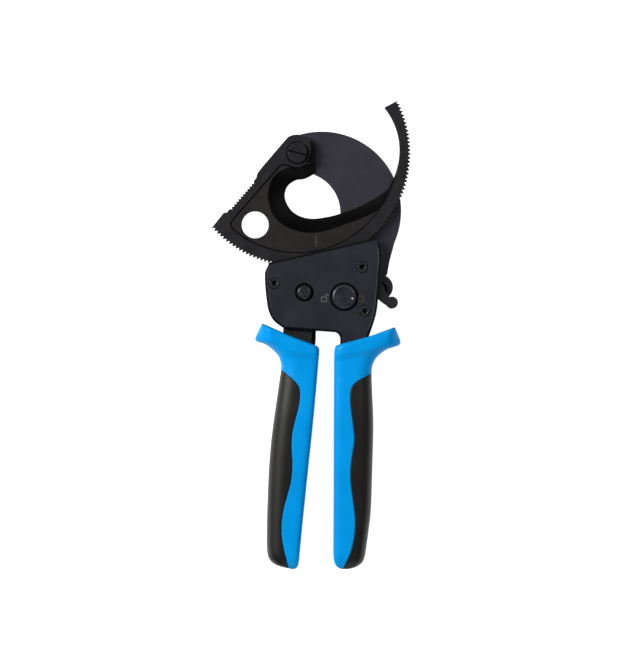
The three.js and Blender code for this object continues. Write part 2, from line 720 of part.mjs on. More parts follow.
function lockCam() {
  const nose = [
    offset(LOCK, LOCK_NOSE_ANGLE, 0, -3),
    offset(LOCK, LOCK_NOSE_ANGLE, 0, 3),
    offset(LOCK, LOCK_NOSE_ANGLE, LOCK_NOSE_R - 0.6, 1.8),
    offset(LOCK, LOCK_NOSE_ANGLE, LOCK_NOSE_R, 0.8),
    offset(LOCK, LOCK_NOSE_ANGLE, LOCK_NOSE_R, -0.8),
    offset(LOCK, LOCK_NOSE_ANGLE, LOCK_NOSE_R - 0.6, -1.8),
  ];
  return turned(LOCK, [
    [0, 6.3],
    [2.3, 6.3],
    [2.3, BLADE_BACK],
    [LOCK_SHAFT_R, BLADE_BACK],
    [LOCK_SHAFT_R, LOCK_KNOB_BACK - GAP],
    [0, LOCK_KNOB_BACK - GAP],
  ], 32).add(plate(nose, LINK_BACK, LINK_MIDDLE));
}

place('lock_knob', lockKnob(), MATERIALS.fastener);
place('lock_cam', lockCam(), MATERIALS.brightSteel);
place(
  'lock_friction_washer',
  ring(LOCK, LOCK_SHAFT_R + 0.5, 6.1, RECESS_FLOOR + 0.25, RECESS_FLOOR + 0.6),
  MATERIALS.springSteel,
);

// ---------------------------------------------------------------- holding pawl and release

function holdPawl() {
  const tipR = RATCHET_TIP_R + TIP_CLEARANCE + 0.1;
  const arm = [
    point([39.6, -74.5]), point([42.0, -68.5]), point([42.1, -60.0]), point([40.2, -55.0]),
    polar(tipR, -52.3), polar(tipR, -49.0), point([45.0, -54.5]), point([46.2, -60.0]),
    point([46.9, -68.5]), point([47.6, -72.6]),
  ];
  const lever = [
    point([47.6, -72.6]), point([49.3, -75.4]), point([50.7, -79.4]), point([53.0, -82.6]),
    point([56.6, -83.6]), point([56.4, -88.5]), point([53.0, -88.9]), point([48.6, -85.6]),
    point([45.2, -82.6]), point([43.2, -81.9]), point([41.0, -77.2]), point([39.6, -74.5]),
  ];
  const front = LINK_FRONT - 0.1;
  return plate([...arm.slice(0, -1), ...lever.slice(0, -1)], LINK_BACK, front)
    .add(rod(HOLD_PIVOT, 4.2, LINK_BACK, front))
    .add(rod(LEVER_BALL, LEVER_BALL.r, LINK_BACK, front, 28))
    .subtract(rod(HOLD_PIVOT, PAWL_PIN_R + GAP, 0, GRIP_THICKNESS, 20));
}

place('hold_pawl', holdPawl(), MATERIALS.lever);
place(
  'hold_pawl_pin',
  rod(HOLD_PIVOT, PAWL_PIN_R, PLATE_BACK + GAP, BLADE_FRONT, 20),
  MATERIALS.brightSteel,
);
place(
  'hold_pawl_spring',
  coil(
    new THREE.Vector3(41.7, -87.5, (LINK_BACK + LINK_FRONT) / 2),
    new THREE.Vector3(0.55, 0.83, 0),
    { radius: 1.4, wire: 0.45, length: 4.2, turns: 4.5 },
  ),
  MATERIALS.springSteel,
);

// ---------------------------------------------------------------- grips

// Where a side's outline is at height y
function sideAt(side, y) {
  const index = side.findIndex((p) => p.y <= y);
  if (index <= 0) return index === 0 ? side[0].x : side.at(-1).x;
  const above = side[index - 1];
  const below = side[index];
  return THREE.MathUtils.mapLinear(y, above.y, below.y, above.x, below.x);
}

// Half the grip's thickness: full at the guard and the palm, thinner behind the guard
function halfThickness(y) {
  const full = GRIP_THICKNESS / 2;
  const { smoothstep } = THREE.MathUtils;
  const waist = GUARD_STEP * smoothstep(-y, 112.5, 118) * (1 - smoothstep(-y, 122, 152));
  const end = Math.max(0, (-230 - y) / 8.6);
  return full - waist - 3.2 * end ** 2;
}

// A rounded section of the grip at height y, pulled in by `inset` all round
function gripRing(grip, y, inset) {
  const left = sideAt(grip.leftSide, y) + inset;
  const right = sideAt(grip.rightSide, y) - inset;
  const halfWidth = Math.max((right - left) / 2, 0.2);
  const half = halfThickness(y) - inset;
  const bulge = (value) => Math.sign(value) * Math.abs(value) ** (2 / GRIP_SQUARENESS);
  const widest = bulge(Math.cos(Math.PI / GRIP_SIDES));
  const points = [];
  for (let i = 0; i < GRIP_SIDES; i += 1) {
    const angle = ((i + 0.5) / GRIP_SIDES) * 2 * Math.PI;
    points.push(new THREE.Vector3(
      (left + right) / 2 + (halfWidth * bulge(Math.cos(angle))) / widest,
      y,
      GRIP_THICKNESS / 2 + (half * bulge(Math.sin(angle))) / widest,
    ));
  }
  return points;
}

function fan(ring) {
  const faces = [];
  for (let i = 1; i < ring.length - 1; i += 1) faces.push([0, i, i + 1]);
  return faces;
}

function gripBody(grip, stations, inset) {
  const rings = stations.map((y) => gripRing(grip, y, inset)).reverse();
  return loft(rings.map((r) => r.reverse()), fan);
}

// The palm side of a grip, out to `softSide`, widened by `margin`
function softRegion(grip, margin) {
  const side = Math.sign(grip.softSide);
  const edge = spline(grip.softEdge, 34)
    .map((p) => new THREE.Vector2(p.x - side * margin, p.y + margin));
  const outside = [edge[0], edge.at(-1)].map((p) => new THREE.Vector2(grip.softSide, p.y));
  return plate([outside[0], ...edge, outside[1]], -1, GRIP_THICKNESS + 1);
}

function gripSolids(outline, slot) {
  const grip = {
    ...outline,
    leftSide: spline(outline.left, 60),
    rightSide: spline(outline.right, 60),
  };
  const guard = [
    -98, -99.5, -101, -103, -105, -107.5, -109, -110.5, -112, -114, -116, -118, -121,
  ];
  const palm = [-126, -133, -141, -150, -160, -170, -180, -190, -200, -210, -220];
  const end = [-228, -232, -235, -237, -238.3];
  const top = Math.min(grip.leftSide[0].y, grip.rightSide[0].y);
  const stations = [...guard.filter((y) => y < top - 0.2), ...palm, ...end];
  const inside = [SOFT_TOP, ...palm, -228, -232, -235, -236.4];
  const whole = gripBody(grip, stations, 0);
  const core = whole.subtract(softRegion(grip, GAP))
    .add(gripBody(grip, inside, SOFT_THICKNESS + GAP))
    .subtract(slot);
  const sleeve = whole.intersect(softRegion(grip, 0))
    .subtract(gripBody(grip, [SOFT_TOP + 1, ...inside.slice(1, -1), -236.7], SOFT_THICKNESS));
  return { core, sleeve };
}

const leftSlot = plate(shankOutline(GAP), LINK_BACK - GAP, LINK_FRONT + 0.2);
const rightSlot = plate([
  [24.4, -98], [24.4, -111], [TANG.left - GAP, -115.2], [TANG.left - GAP, TANG.plateEnd - GAP],
  [TANG.right + GAP, TANG.plateEnd - GAP], [TANG.right + GAP, -114], [40.3, -108.5], [44.2, -98],
].map(point), PLATE_BACK - GAP, COVER_FRONT + GAP);

const leftGrip = gripSolids(LEFT_GRIP, leftSlot);
const rightGrip = gripSolids(RIGHT_GRIP, rightSlot);
place('left_grip_core', leftGrip.core, MATERIALS.hardGrip);
place('left_grip_sleeve', leftGrip.sleeve, MATERIALS.softGrip);
place('right_grip_core', rightGrip.core, MATERIALS.hardGrip);
place('right_grip_sleeve', rightGrip.sleeve, MATERIALS.softGrip);

export default assembly;
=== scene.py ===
import math

import bmesh
import bpy
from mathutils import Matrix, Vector


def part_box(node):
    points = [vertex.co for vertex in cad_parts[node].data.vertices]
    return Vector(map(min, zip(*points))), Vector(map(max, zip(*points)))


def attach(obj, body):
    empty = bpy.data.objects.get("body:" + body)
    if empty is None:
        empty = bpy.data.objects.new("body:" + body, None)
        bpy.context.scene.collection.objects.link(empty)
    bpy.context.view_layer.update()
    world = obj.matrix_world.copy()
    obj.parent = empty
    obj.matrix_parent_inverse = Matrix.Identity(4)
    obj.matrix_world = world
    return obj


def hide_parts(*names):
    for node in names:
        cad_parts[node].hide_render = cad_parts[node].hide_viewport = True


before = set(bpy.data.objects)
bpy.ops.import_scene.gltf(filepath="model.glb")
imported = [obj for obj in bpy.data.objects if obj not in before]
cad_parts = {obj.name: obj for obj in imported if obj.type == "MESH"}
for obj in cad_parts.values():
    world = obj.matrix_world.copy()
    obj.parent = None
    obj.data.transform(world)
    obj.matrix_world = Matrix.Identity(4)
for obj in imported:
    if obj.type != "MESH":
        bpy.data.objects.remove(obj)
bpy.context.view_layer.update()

MM = 0.001

# The shapes below are in millimetres, in the frame's axes: +X to the side of the fixed
# handle, +Y from the handles to the head, +Z out of the front cover. The origin is on the
# pivot's axis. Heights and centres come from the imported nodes.


# ---- places from the frame

def layer(node):
    """The lowest and highest height of a CAD node."""
    low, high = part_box(node)
    return low.z / MM, high.z / MM


def centre(node):
    """The middle of a CAD node, seen from the front."""
    low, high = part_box(node)
    return (low.x + high.x) / 2 / MM, (low.y + high.y) / 2 / MM


PLATE_BACK, PLATE_FRONT = layer("fixed_blade")
BLADE_BACK, BLADE_FRONT = layer("moving_blade")
COVER_BACK, COVER_FRONT = layer("front_cover")
SHANK_BACK, SHANK_FRONT = layer("handle_shank")
GRIP_BACK, GRIP_FRONT = layer("right_grip_core")
PIVOT = (0.0, 0.0)
HANDLE_PIVOT = centre("handle_pivot_pin")
PAWL_PIVOT = centre("drive_pawl_pin")
HOLD_PIVOT = centre("hold_pawl_pin")
LOCK = centre("lock_knob")
SCREWS = ("left", "top_right", "bottom_right")
RIVETS = ("tang_rivet_1", "tang_rivet_2")
TOP = 40.0  # above everything, for cutters


# ---- points and outlines

def polar(r, degrees, x=0.0, y=0.0):
    angle = math.radians(degrees)
    return x + r * math.cos(angle), y + r * math.sin(angle)


def arc(x, y, r, start, end, steps):
    return [polar(r, start + (end - start) * i / steps, x, y) for i in range(steps + 1)]


def lerp(a, b, t):
    return tuple(p + (q - p) * t for p, q in zip(a, b))


def spline(points, steps):
    """Evenly stepped points of the Catmull-Rom curve through some points."""
    last = len(points) - 1
    result = []
    for step in range(steps + 1):
        place = last * step / steps
        i = min(int(place), last - 1)
        t = place - i
        p0, p1, p2, p3 = (points[min(max(i + k, 0), last)] for k in (-1, 0, 1, 2))
        result.append(tuple(
            b + 0.5 * t * (c - a + t * (2 * a - 5 * b + 4 * c - d + t * (3 * (b - c) + d - a)))
            for a, b, c, d in zip(p0, p1, p2, p3)
        ))
    return result


def offset(start, degrees, along, across):
    """The point at some distance along and to the left of a line from start."""
    x, y = polar(along, degrees, *start)
    return polar(across, degrees + 90, x, y)


def counter_clockwise(outline):
    area = sum(
        a[0] * b[1] - b[0] * a[1]
        for a, b in zip(outline, outline[1:] + outline[:1])
    )
    return outline if area > 0 else outline[::-1]


# ---- meshes

SLOTS = 5  # material slots that every piece starts with, so that cutting keeps them apart


def new_object(name, data):
    made = bpy.data.objects.new(name, data)
    bpy.context.scene.collection.objects.link(made)
    return made


def new_piece(name, vertices, faces, slot=0):
    mesh = bpy.data.meshes.new(name)
    mesh.from_pydata([[c * MM for c in v] for v in vertices], [], faces)
    for _ in range(SLOTS):
        mesh.materials.append(None)
    piece = new_object(name, mesh)
    for polygon in mesh.polygons:
        polygon.material_index = slot
    return piece


def ring_faces(count, levels):
    """Quads between rings of the same count, one above the other."""
    return [
        (k * count + i, k * count + (i + 1) % count,
         (k + 1) * count + (i + 1) % count, (k + 1) * count + i)
        for k in range(levels - 1) for i in range(count)
    ]


def stack(name, rings, slot=0):
    """A closed solid through rings of points, one above the other."""
    count = len(rings[0])
    vertices = [v for ring in rings for v in ring]
    faces = ring_faces(count, len(rings))
    faces.append(tuple(reversed(range(count))))
    faces.append(tuple(range(len(vertices) - count, len(vertices))))
    return new_piece(name, vertices, faces, slot)


def level(points, z):
    return [(x, y, z) for x, y in points]


def edit_mesh(piece, change):
    """Changes a piece's mesh by a function of its bmesh."""
    mesh = bmesh.new()
    mesh.from_mesh(piece.data)
    change(mesh)
    mesh.to_mesh(piece.data)
    mesh.free()
    return piece


def outward(mesh):
    """Turns every face's normal outwards."""
    bmesh.ops.recalc_face_normals(mesh, faces=mesh.faces)


def shade_smooth(piece):
    for polygon in piece.data.polygons:
        polygon.use_smooth = True


def plate(name, outline, back, front, slot=0):
    """A flat solid between two heights."""
    outline = counter_clockwise(outline)
    count = len(outline)
    vertices = [(x, y, z) for z in (back, front) for x, y in outline]
    caps = [tuple(reversed(range(count))), tuple(range(count, 2 * count))]
    return new_piece(name, vertices, caps + ring_faces(count, 2), slot)


def turned(name, place, profile, sides=96, slot=0):
    """A turned solid about an upright axis. The profile is pairs of radius and height, from
    the bottom of the axis to its top."""
    rings = [
        level([polar(r, 360 * i / sides, *place) for i in range(sides)], z)
        for r, z in profile[1:-1]
    ]
    return stack(name, rings, slot)


def rod(name, place, r, back, front, sides=96, slot=0):
    return turned(name, place, [(0, back), (r, back), (r, front), (0, front)], sides, slot)


def combine(piece, operation, *others):
    """Joins other pieces to this one, or cuts them away, and deletes them."""
    for other in others:
        modifier = piece.modifiers.new("combine", "BOOLEAN")
        modifier.operation = operation
        modifier.object = other
        modifier.solver = "EXACT"
    apply_modifiers(piece)
    for other in others:
        bpy.data.objects.remove(other)
    return piece


def cut(piece, *others):
    return combine(piece, "DIFFERENCE", *others)


def join(piece, *others):
    return combine(piece, "UNION", *others)


def evaluated_mesh(made):
    depsgraph = bpy.context.evaluated_depsgraph_get()
    return bpy.data.meshes.new_from_object(made.evaluated_get(depsgraph))


def apply_modifiers(piece):
    mesh = evaluated_mesh(piece)
    old = piece.data
    piece.modifiers.clear()
    piece.data = mesh
    bpy.data.meshes.remove(old)


def merge_flats(mesh):
    """Joins faces of one flat and points that are almost the same."""
    bmesh.ops.remove_doubles(mesh, verts=mesh.verts, dist=0.004 * MM)
    bmesh.ops.dissolve_limit(
        mesh, angle_limit=math.radians(0.5), verts=mesh.verts, edges=mesh.edges,
        delimit={"MATERIAL"},
    )


def soften(piece, width, segments=2, angle=28, worn_highlight=None, crease_shade=None):
    """Rounds the edges and keeps the flats flat. Rounds on outer edges get a lighter slot, partly
    wear and partly a painted highlight, and those in inner corners a slot of painted shade."""
    edit_mesh(piece, merge_flats)
    bevel = piece.modifiers.new("edges", "BEVEL")
    bevel.width = width * MM
    bevel.segments = segments
    bevel.limit_method = "ANGLE"
    bevel.angle_limit = math.radians(angle)
    bevel.miter_outer = "MITER_ARC"
    if worn_highlight is not None:
        bevel.material = worn_highlight
    shade_smooth(piece)
    apply_modifiers(piece)
    if crease_shade is not None:
        edit_mesh(piece, lambda mesh: shade_creases(mesh, worn_highlight, crease_shade))
    normals = piece.modifiers.new("normals", "WEIGHTED_NORMAL")
    normals.keep_sharp = True
    normals.weight = 100
    apply_modifiers(piece)
    return piece


def is_hollow(face):
    """Whether a face's neighbours mostly turn towards it."""
    middle = face.calc_center_median()
    hollow = 0.0
    for edge in face.edges:
        for other in edge.link_faces:
            apart = other.calc_center_median() - middle
            hollow -= (other.normal - face.normal).dot(apart.normalized())
    return hollow > 0


def shade_creases(mesh, worn_highlight, crease_shade):
    """Gives the lighter edge rounds in inner corners the slot of painted shade."""
    mesh.normal_update()
    for face in [f for f in mesh.faces if f.material_index == worn_highlight and is_hollow(f)]:
        face.material_index = crease_shade


def finish_piece(piece, body, node, slot, *materials):
    """Says what the piece rides on, stands for and is made of."""
    slots = piece.data.materials
    while len(slots) > len(materials):
        slots.pop(index=len(slots) - 1)
    while len(slots) < len(materials):
        slots.append(None)
    for index, material in enumerate(materials):
        slots[index] = material
    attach(piece, body)
    if node:
        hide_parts(node)


# ---- materials

class Surface:
    """A Principled material with procedural detail in the piece's own coordinates."""

    def __init__(self, name, **sockets):
        self.material = bpy.data.materials.new(name)
        self.material.use_nodes = True
        self.tree = self.material.node_tree
        self.shader = self.tree.nodes["Principled BSDF"]
        self.place = self.node("TexCoord").outputs["Object"]
        self.set(self.shader, sockets)

    def set(self, node, sockets):
        for socket, value in sockets.items():
            node.inputs[socket.replace("_", " ")].default_value = value

    def node(self, kind, **sockets):
        node = self.tree.nodes.new("ShaderNode" + kind)
        self.set(node, sockets)
        return node

    def link(self, output, target):
        self.tree.links.new(output, target)

    def noise(self, size, detail=3.0, stretch=(1, 1, 1), turn=0.0, distortion=0.0):
        """Noise whose features are about `size` millimetres, stretched along some axes."""
        mapping = self.node("Mapping", Rotation=(0, 0, math.radians(turn)), Scale=stretch)
        mapping.vector_type = "TEXTURE"
        texture = self.node(
            "TexNoise", Scale=1 / (size * MM), Detail=detail, Distortion=distortion,
        )
        self.link(self.place, mapping.inputs["Vector"])
        self.link(mapping.outputs["Vector"], texture.inputs["Vector"])
        return texture.outputs["Fac"]

    def spread(self, value, low, high):
        """Noise around a half, spread to run from low to high."""
        node = self.node("MapRange", From_Min=0.3, From_Max=0.7, To_Min=low, To_Max=high)
        self.link(value, node.inputs["Value"])
        return node.outputs["Result"]

    def colours(self, value, *stops):
        """The base colour from a value, through colours at given places."""
        ramp = self.node("ValToRGB")
        elements = ramp.color_ramp.elements
        while len(elements) < len(stops):
            elements.new(0.5)
        for element, (position, colour) in zip(elements, stops):
            element.position = position
            element.color = (*colour, 1)
        self.link(value, ramp.inputs["Fac"])
        self.link(ramp.outputs["Color"], self.shader.inputs["Base Color"])

    def add(self, a, b, share=0.5):
        node = self.node("Mix", Factor=share)
        self.link(a, node.inputs["A"])
        self.link(b, node.inputs["B"])
        return node.outputs["Result"]

    def roughness(self, value, low, high):
        self.link(self.spread(value, low, high), self.shader.inputs["Roughness"])

    def bump(self, value, depth):
        """Relief of about `depth` millimetres."""
        node = self.node("Bump", Strength=1, Distance=depth * MM)
        self.link(value, node.inputs["Height"])
        self.link(node.outputs["Normal"], self.shader.inputs["Normal"])


def oxide_steel(name, dark, light, metallic=0.3, rough=(0.4, 0.55), grain=0.012, size=9):
    """Steel with a baked-on oxide: mottled, finely blasted."""
    surface = Surface(name, Metallic=metallic, Specular_IOR_Level=0.22)
    fine = surface.noise(0.45, detail=4)
    cloud = surface.noise(size, detail=5, distortion=0.4)
    surface.colours(surface.add(cloud, fine, 0.35), (0.34, dark), (0.66, light))
    surface.roughness(surface.add(cloud, fine, 0.5), *rough)
    surface.bump(fine, grain)
    return surface.material


def ground_steel(name, dark, light, turn, metallic=0.7, rough=(0.28, 0.45)):
    """Steel with fine grinding lines that run at an angle."""
    surface = Surface(name, Metallic=metallic)
    lines = surface.noise(0.35, detail=3, stretch=(26, 1, 1), turn=turn)
    cloud = surface.noise(7, detail=4)
    surface.colours(surface.add(lines, cloud, 0.45), (0.32, dark), (0.68, light))
    surface.roughness(lines, *rough)
    surface.bump(lines, 0.006)
    return surface.material


def coated_steel(name, dark, light):
    """A satin coating with a fine skin."""
    surface = Surface(name, Metallic=0.2, Specular_IOR_Level=0.28)
    fine = surface.noise(0.3, detail=3)
    cloud = surface.noise(14, detail=4)
    surface.colours(surface.add(cloud, fine, 0.3), (0.35, dark), (0.65, light))
    surface.roughness(surface.add(fine, cloud, 0.5), 0.42, 0.56)
    surface.bump(fine, 0.010)
    return surface.material


def plastic(name, dark, light, rough, grain, size=0.35, **sockets):
    """Moulded plastic with a fine eroded texture."""
    surface = Surface(name, **sockets)
    fine = surface.noise(size, detail=2)
    cloud = surface.noise(22, detail=3)
    surface.colours(surface.add(cloud, fine, 0.3), (0.35, dark), (0.65, light))
    surface.roughness(surface.add(fine, cloud, 0.5), *rough)
    surface.bump(fine, grain)
    return surface.material


def turned_steel(name, dark, light, middle):
    """Steel with the fine rings of a lathe tool round an upright axis."""
    surface = Surface(name, Metallic=0.6)
    mapping = surface.node("Mapping", Location=(-middle[0] * MM, -middle[1] * MM, 0))
    surface.link(surface.place, mapping.inputs["Vector"])
    rings = surface.node("TexWave", Scale=0.314 / (0.22 * MM), Distortion=0.6)
    rings.wave_type = "RINGS"
    rings.rings_direction = "Z"
    surface.link(mapping.outputs["Vector"], rings.inputs["Vector"])
    cloud = surface.noise(4, detail=4)
    surface.colours(surface.add(rings.outputs["Fac"], cloud, 0.6), (0.3, dark), (0.7, light))
    surface.roughness(cloud, 0.26, 0.36)
    surface.bump(rings.outputs["Fac"], 0.012)
    return surface.material


def paint(name, colour, rough=0.5, specular=0.5):
    surface = Surface(name, Roughness=rough, Specular_IOR_Level=specular)
    fine = surface.noise(0.2, detail=2)
    faded = tuple(c * 0.82 for c in colour)
    surface.colours(fine, (0.35, faded), (0.6, colour))
    return surface.material


BLADE_RIM = oxide_steel("blade_steel", (0.0078, 0.0075, 0.0088), (0.0132, 0.0126, 0.0147))
BLADE_PANEL = oxide_steel("blade_panel", (0.0098, 0.0084, 0.0080), (0.0152, 0.0132, 0.0125), size=6)
BLADE_GROUND = ground_steel(
    "blade_ground", (0.0011, 0.0009, 0.0009), (0.0034, 0.0028, 0.0029), 35, 0.9, (0.42, 0.55),
)
FIXED = oxide_steel("fixed_steel", (0.0190, 0.0182, 0.0258), (0.0278, 0.0264, 0.0370), size=16)
FIXED_GROUND = ground_steel("fixed_ground", (0.02, 0.02, 0.025), (0.05, 0.05, 0.06), 60)
COVER = coated_steel("cover_coating", (0.0066, 0.0080, 0.0124), (0.0115, 0.0136, 0.0196))
BLACK = oxide_steel("black_fastener", (0.006, 0.006, 0.0076), (0.0115, 0.0115, 0.0145), grain=0.006)
# Painted shade: near-black for sockets, slots, recesses, pocket floors, the panel's step, inner
# corners and the bar's chamfer.
PAINTED_SHADE = paint("painted_shade_in_corners", (0.0018, 0.0018, 0.0018), 0.8, 0.05)
# Painted shade for the cover's sides and front chamfer, a dark strip round its edge.
COVER_SIDE_SHADE = paint("cover_side_painted_shade", (0.0022, 0.0024, 0.0032), 0.75, 0.08)
KNOB = turned_steel("turned_knob", (0.014, 0.0155, 0.0203), (0.030, 0.033, 0.042), LOCK)
PIN_FACE = turned_steel(
    "turned_pin", (0.012, 0.013, 0.0165), (0.026, 0.0278, 0.034), HANDLE_PIVOT,
)
LINK = oxide_steel("link_steel", (0.007, 0.007, 0.0075), (0.014, 0.0135, 0.0135))
LEVER = oxide_steel("lever_steel", (0.010, 0.0096, 0.0112), (0.017, 0.0163, 0.019))
BRIGHT = ground_steel("bright_steel", (0.22, 0.23, 0.25), (0.36, 0.37, 0.40), 10, 0.95)
WIRE = ground_steel("spring_wire", (0.24, 0.25, 0.27), (0.38, 0.39, 0.42), 0, 0.95)
BRONZE = ground_steel("bush_bronze", (0.30, 0.13, 0.04), (0.46, 0.22, 0.07), 90, 0.9)
# Lighter steel on edge rounds: partly wear, partly a painted highlight along the edges.
WORN_EDGE_AND_HIGHLIGHT = ground_steel("worn_edge_and_painted_highlight", (0.07, 0.069, 0.077), (0.105, 0.103, 0.114), 20, 0.7)
BLUE = plastic(
    "hard_grip", (0.0, 0.228, 0.58), (0.0, 0.262, 0.66), (0.30, 0.42), 0.008,
    Specular_IOR_Level=0.06,
)
RUBBER = plastic(
    "soft_grip", (0.0027, 0.0025, 0.0024), (0.0051, 0.0048, 0.0046), (0.40, 0.50), 0.012, 0.5,
    Specular_IOR_Level=0.26, Specular_Tint=(1.0, 0.99, 0.91, 1.0),
)
WHITE_MARK = paint("white_mark", (0.125, 0.125, 0.115))
DOT_MARK = paint("white_dot", (0.55, 0.55, 0.53))
RED_MARK = paint("red_mark", (0.070, 0.021, 0.024))
SCRIBE = paint("scribed_line", (0.10, 0.095, 0.085))


# ---- radii of shafts and bores

BOLT_R, BUSH_BORE_R, BUSH_R = 4.0, 4.3, 5.2
BOLT_HEAD_R, HEAD_SEAT_R = 5.75, 6.4
PIN_R, PAWL_PIN_R = 3.0, 1.8
SCREW_R = RIVET_R = 2.0
GAP = 0.3  # round everything that turns or passes through a hole


# ---- moving blade

TIP_R = 65.2  # of the ratchet's teeth
TOOTH_DEPTH = 1.5
TEETH = 83
RING_START, RING_END = -138.8, 27.6
FACE_SHARE = 0.35  # part of the pitch taken by a tooth's steep face
RIM_R = 57.6
PANEL = BLADE_FRONT - 0.6
# Width of the panel's sloped wall, which is painted shade to draw a dark line at the step.
PANEL_DRAFT = 0.8
LAND = 0.4  # flat left behind a cutting edge
FINGER_HOLE = (-24.15, -41.1)
FINGER_HOLE_R = 7.75
FINGER_HOLE_CHAMFER = 0.7
CENTRE_MARK = (-23.1, -26.3)
THUMB_FROM, THUMB_TO = (-25.0, -16.2), (-38.8, -32.2)
THUMB_TEETH, THUMB_DEPTH = 11, 1.15

CUTTING_EDGE = [
    (10.2, -11.5), (4.4, -14.5), (-0.9, -15.4), (-5.3, -18.5), (-7.1, -22.9), (-6.6, -27.3),
    (-3.6, -32.5), (1.7, -36.1), (8.8, -37.5), (17.6, -36.4), (25.3, -34.4), (35.2, -30.8),
    (44.2, -26.1), (51.4, -21.1), (54.3, -16.5), (56.5, -11.6), (58.2, -5.1),
]
BEVEL_LINE = [
    (8.4, -5.0), (1.6, -8.6), (-5.6, -8.4), (-13.2, -13.2), (-16.4, -20.6), (-16.4, -28.2),
    (-13.0, -36.8), (-5.0, -43.0), (6.0, -45.8), (17.6, -44.4), (27.0, -41.1), (37.0, -37.5),
    (47.0, -32.3), (52.3, -24.6), (55.7, -17.0), (57.2, -11.8), (58.4, -5.1),
]
EDGE_STEPS = 160
# A flat patch right of the hub, given the near-black ground steel as painted shade.
HUB_SIDE_SHADE = [
    (14.0, 8.6), (7.75, 6.6), (8.05, 0.9), (7.0, -3.2), (6.0, -5.2), (8.4, -6.0), (14.0, -7.0),
]


def ratchet_teeth():
    pitch = (RING_END - RING_START) / TEETH
    points = [polar(TIP_R, RING_START)]
    for i in range(1, TEETH + 1):
        tip = RING_START + i * pitch
        points.append(polar(TIP_R - TOOTH_DEPTH, tip - (FACE_SHARE + 0.1) * pitch))
        points.append(polar(TIP_R - TOOTH_DEPTH, tip - FACE_SHARE * pitch))
        points.append(polar(TIP_R, tip - 0.06 * pitch))
        points.append(polar(TIP_R, tip))
    return points


def thumb_serrations():
    step = (THUMB_TO[0] - THUMB_FROM[0], THUMB_TO[1] - THUMB_FROM[1])
    length = math.hypot(*step)
    inward = (-step[1] / length * THUMB_DEPTH, step[0] / length * THUMB_DEPTH)
    points = []
    for i in range(THUMB_TEETH):
        valley = lerp(THUMB_FROM, THUMB_TO, (i + 0.5) / THUMB_TEETH)
        points.append(lerp(THUMB_FROM, THUMB_TO, i / THUMB_TEETH))
        points.append((valley[0] + inward[0], valley[1] + inward[1]))
    return points + [THUMB_TO]


def blade_outline():
    return [
        *ratchet_teeth(),
        *arc(20.2, 1.6, 38.6, 39.4, -10, 40),
        *spline(CUTTING_EDGE, EDGE_STEPS)[::-1][1:],
        (10.6, -5.3),
        *arc(0, 0, 10.6, 0, 119, 30),
        *spline([(-6.4, 8.0), (-14.2, -1.2), (-22.0, -10.5), (-23.4, -14.2)], 12)[1:],
        *thumb_serrations(),
        (-40.5, -34.2), (-42.1, -34.2),
    ]


def ground_cutter(name, edge, line, open_side, heights, reach, power=1.5, rows=9):
    """The space over a hollow-ground bevel that climbs from an edge to a line. `reach` is
    how far past the line, as a share of the bevel's width, the cutter leaves the plate."""
    edge_z, line_z, end_z = heights
    rings = []
    for row in range(rows + 1):
        t = row / rows
        points = [lerp(a, b, t) for a, b in zip(edge, line)]
        rings.append(level(points + open_side, edge_z + (line_z - edge_z) * t ** power))
    points = [lerp(a, b, reach) for a, b in zip(edge, line)]
    rings.append(level(points + open_side, end_z))
    return edit_mesh(stack(name, rings, slot=1), outward)


def panel_outline():
    return [
        (12.5, 8), (7.3, 6.2),
        *spline([(7.6, 5.0), (7.9, 0.9), (5.2, -5.7), (1.3, -8.1), (-2.6, -7.6), (-6.6, -6.4),
                 (-9.2, -6.6), (-11.4, -8.4)], 40),
        *spline([(-36.6, -37.2), (-38.3, -39.9), (-38.1, -42.4), (-36.4, -44.7)], 12),
        *arc(0, 0, RIM_R, -128.5, -34, 90),
        (46, -9), (13.5, -7),
    ]


def inset(outline, distance):
    """A closed outline moved inwards, corner by corner."""
    outline = counter_clockwise(outline)
    result = []
    for before, here, after in zip(outline[-1:] + outline[:-1], outline, outline[1:] + outline[:1]):
        along = Vector(after) - Vector(before)
        inward = Vector((-along.y, along.x)).normalized() * distance
        result.append((here[0] + inward.x, here[1] + inward.y))
    return result


def pocket(name, outline, floor, surface, draft, floor_slot, wall_slot):
    """The space of a pocket whose walls slope inwards by `draft` on the way to the floor."""
    outline = counter_clockwise(outline)
    levels = [(inset(outline, draft), floor), (outline, surface), (outline, TOP)]
    count = len(outline)
    vertices = [(x, y, z) for points, z in levels for x, y in points]
    faces = [tuple(reversed(range(count)))] + ring_faces(count, 3)
    faces.append(tuple(range(2 * count, 3 * count)))
    piece = new_piece(name, vertices, faces, wall_slot)
    piece.data.polygons[0].material_index = floor_slot
    return piece


def chamfered_plate(name, outline, back, front, chamfer, side_shade_slot, highlight_slot, highlight_from):
    """A flat solid with a chamfer round its front and a narrow break above the chamfer. Its
    sides and chamfer have a slot of their own, for painted shade, and so has the break beyond a
    given x, for a painted highlight."""
    outline = counter_clockwise(outline)
    count = len(outline)
    piece = stack(name, [
        level(outline, back), level(outline, front - chamfer),
        level(inset(outline, chamfer), front - BREAK_DEPTH),
        level(inset(outline, chamfer + BREAK_WIDTH), front),
    ])
    for polygon in piece.data.polygons[:2 * count]:
        polygon.material_index = side_shade_slot
    for polygon in piece.data.polygons[2 * count:3 * count]:
        if polygon.center.x > highlight_from * MM:
            polygon.material_index = highlight_slot
    return piece


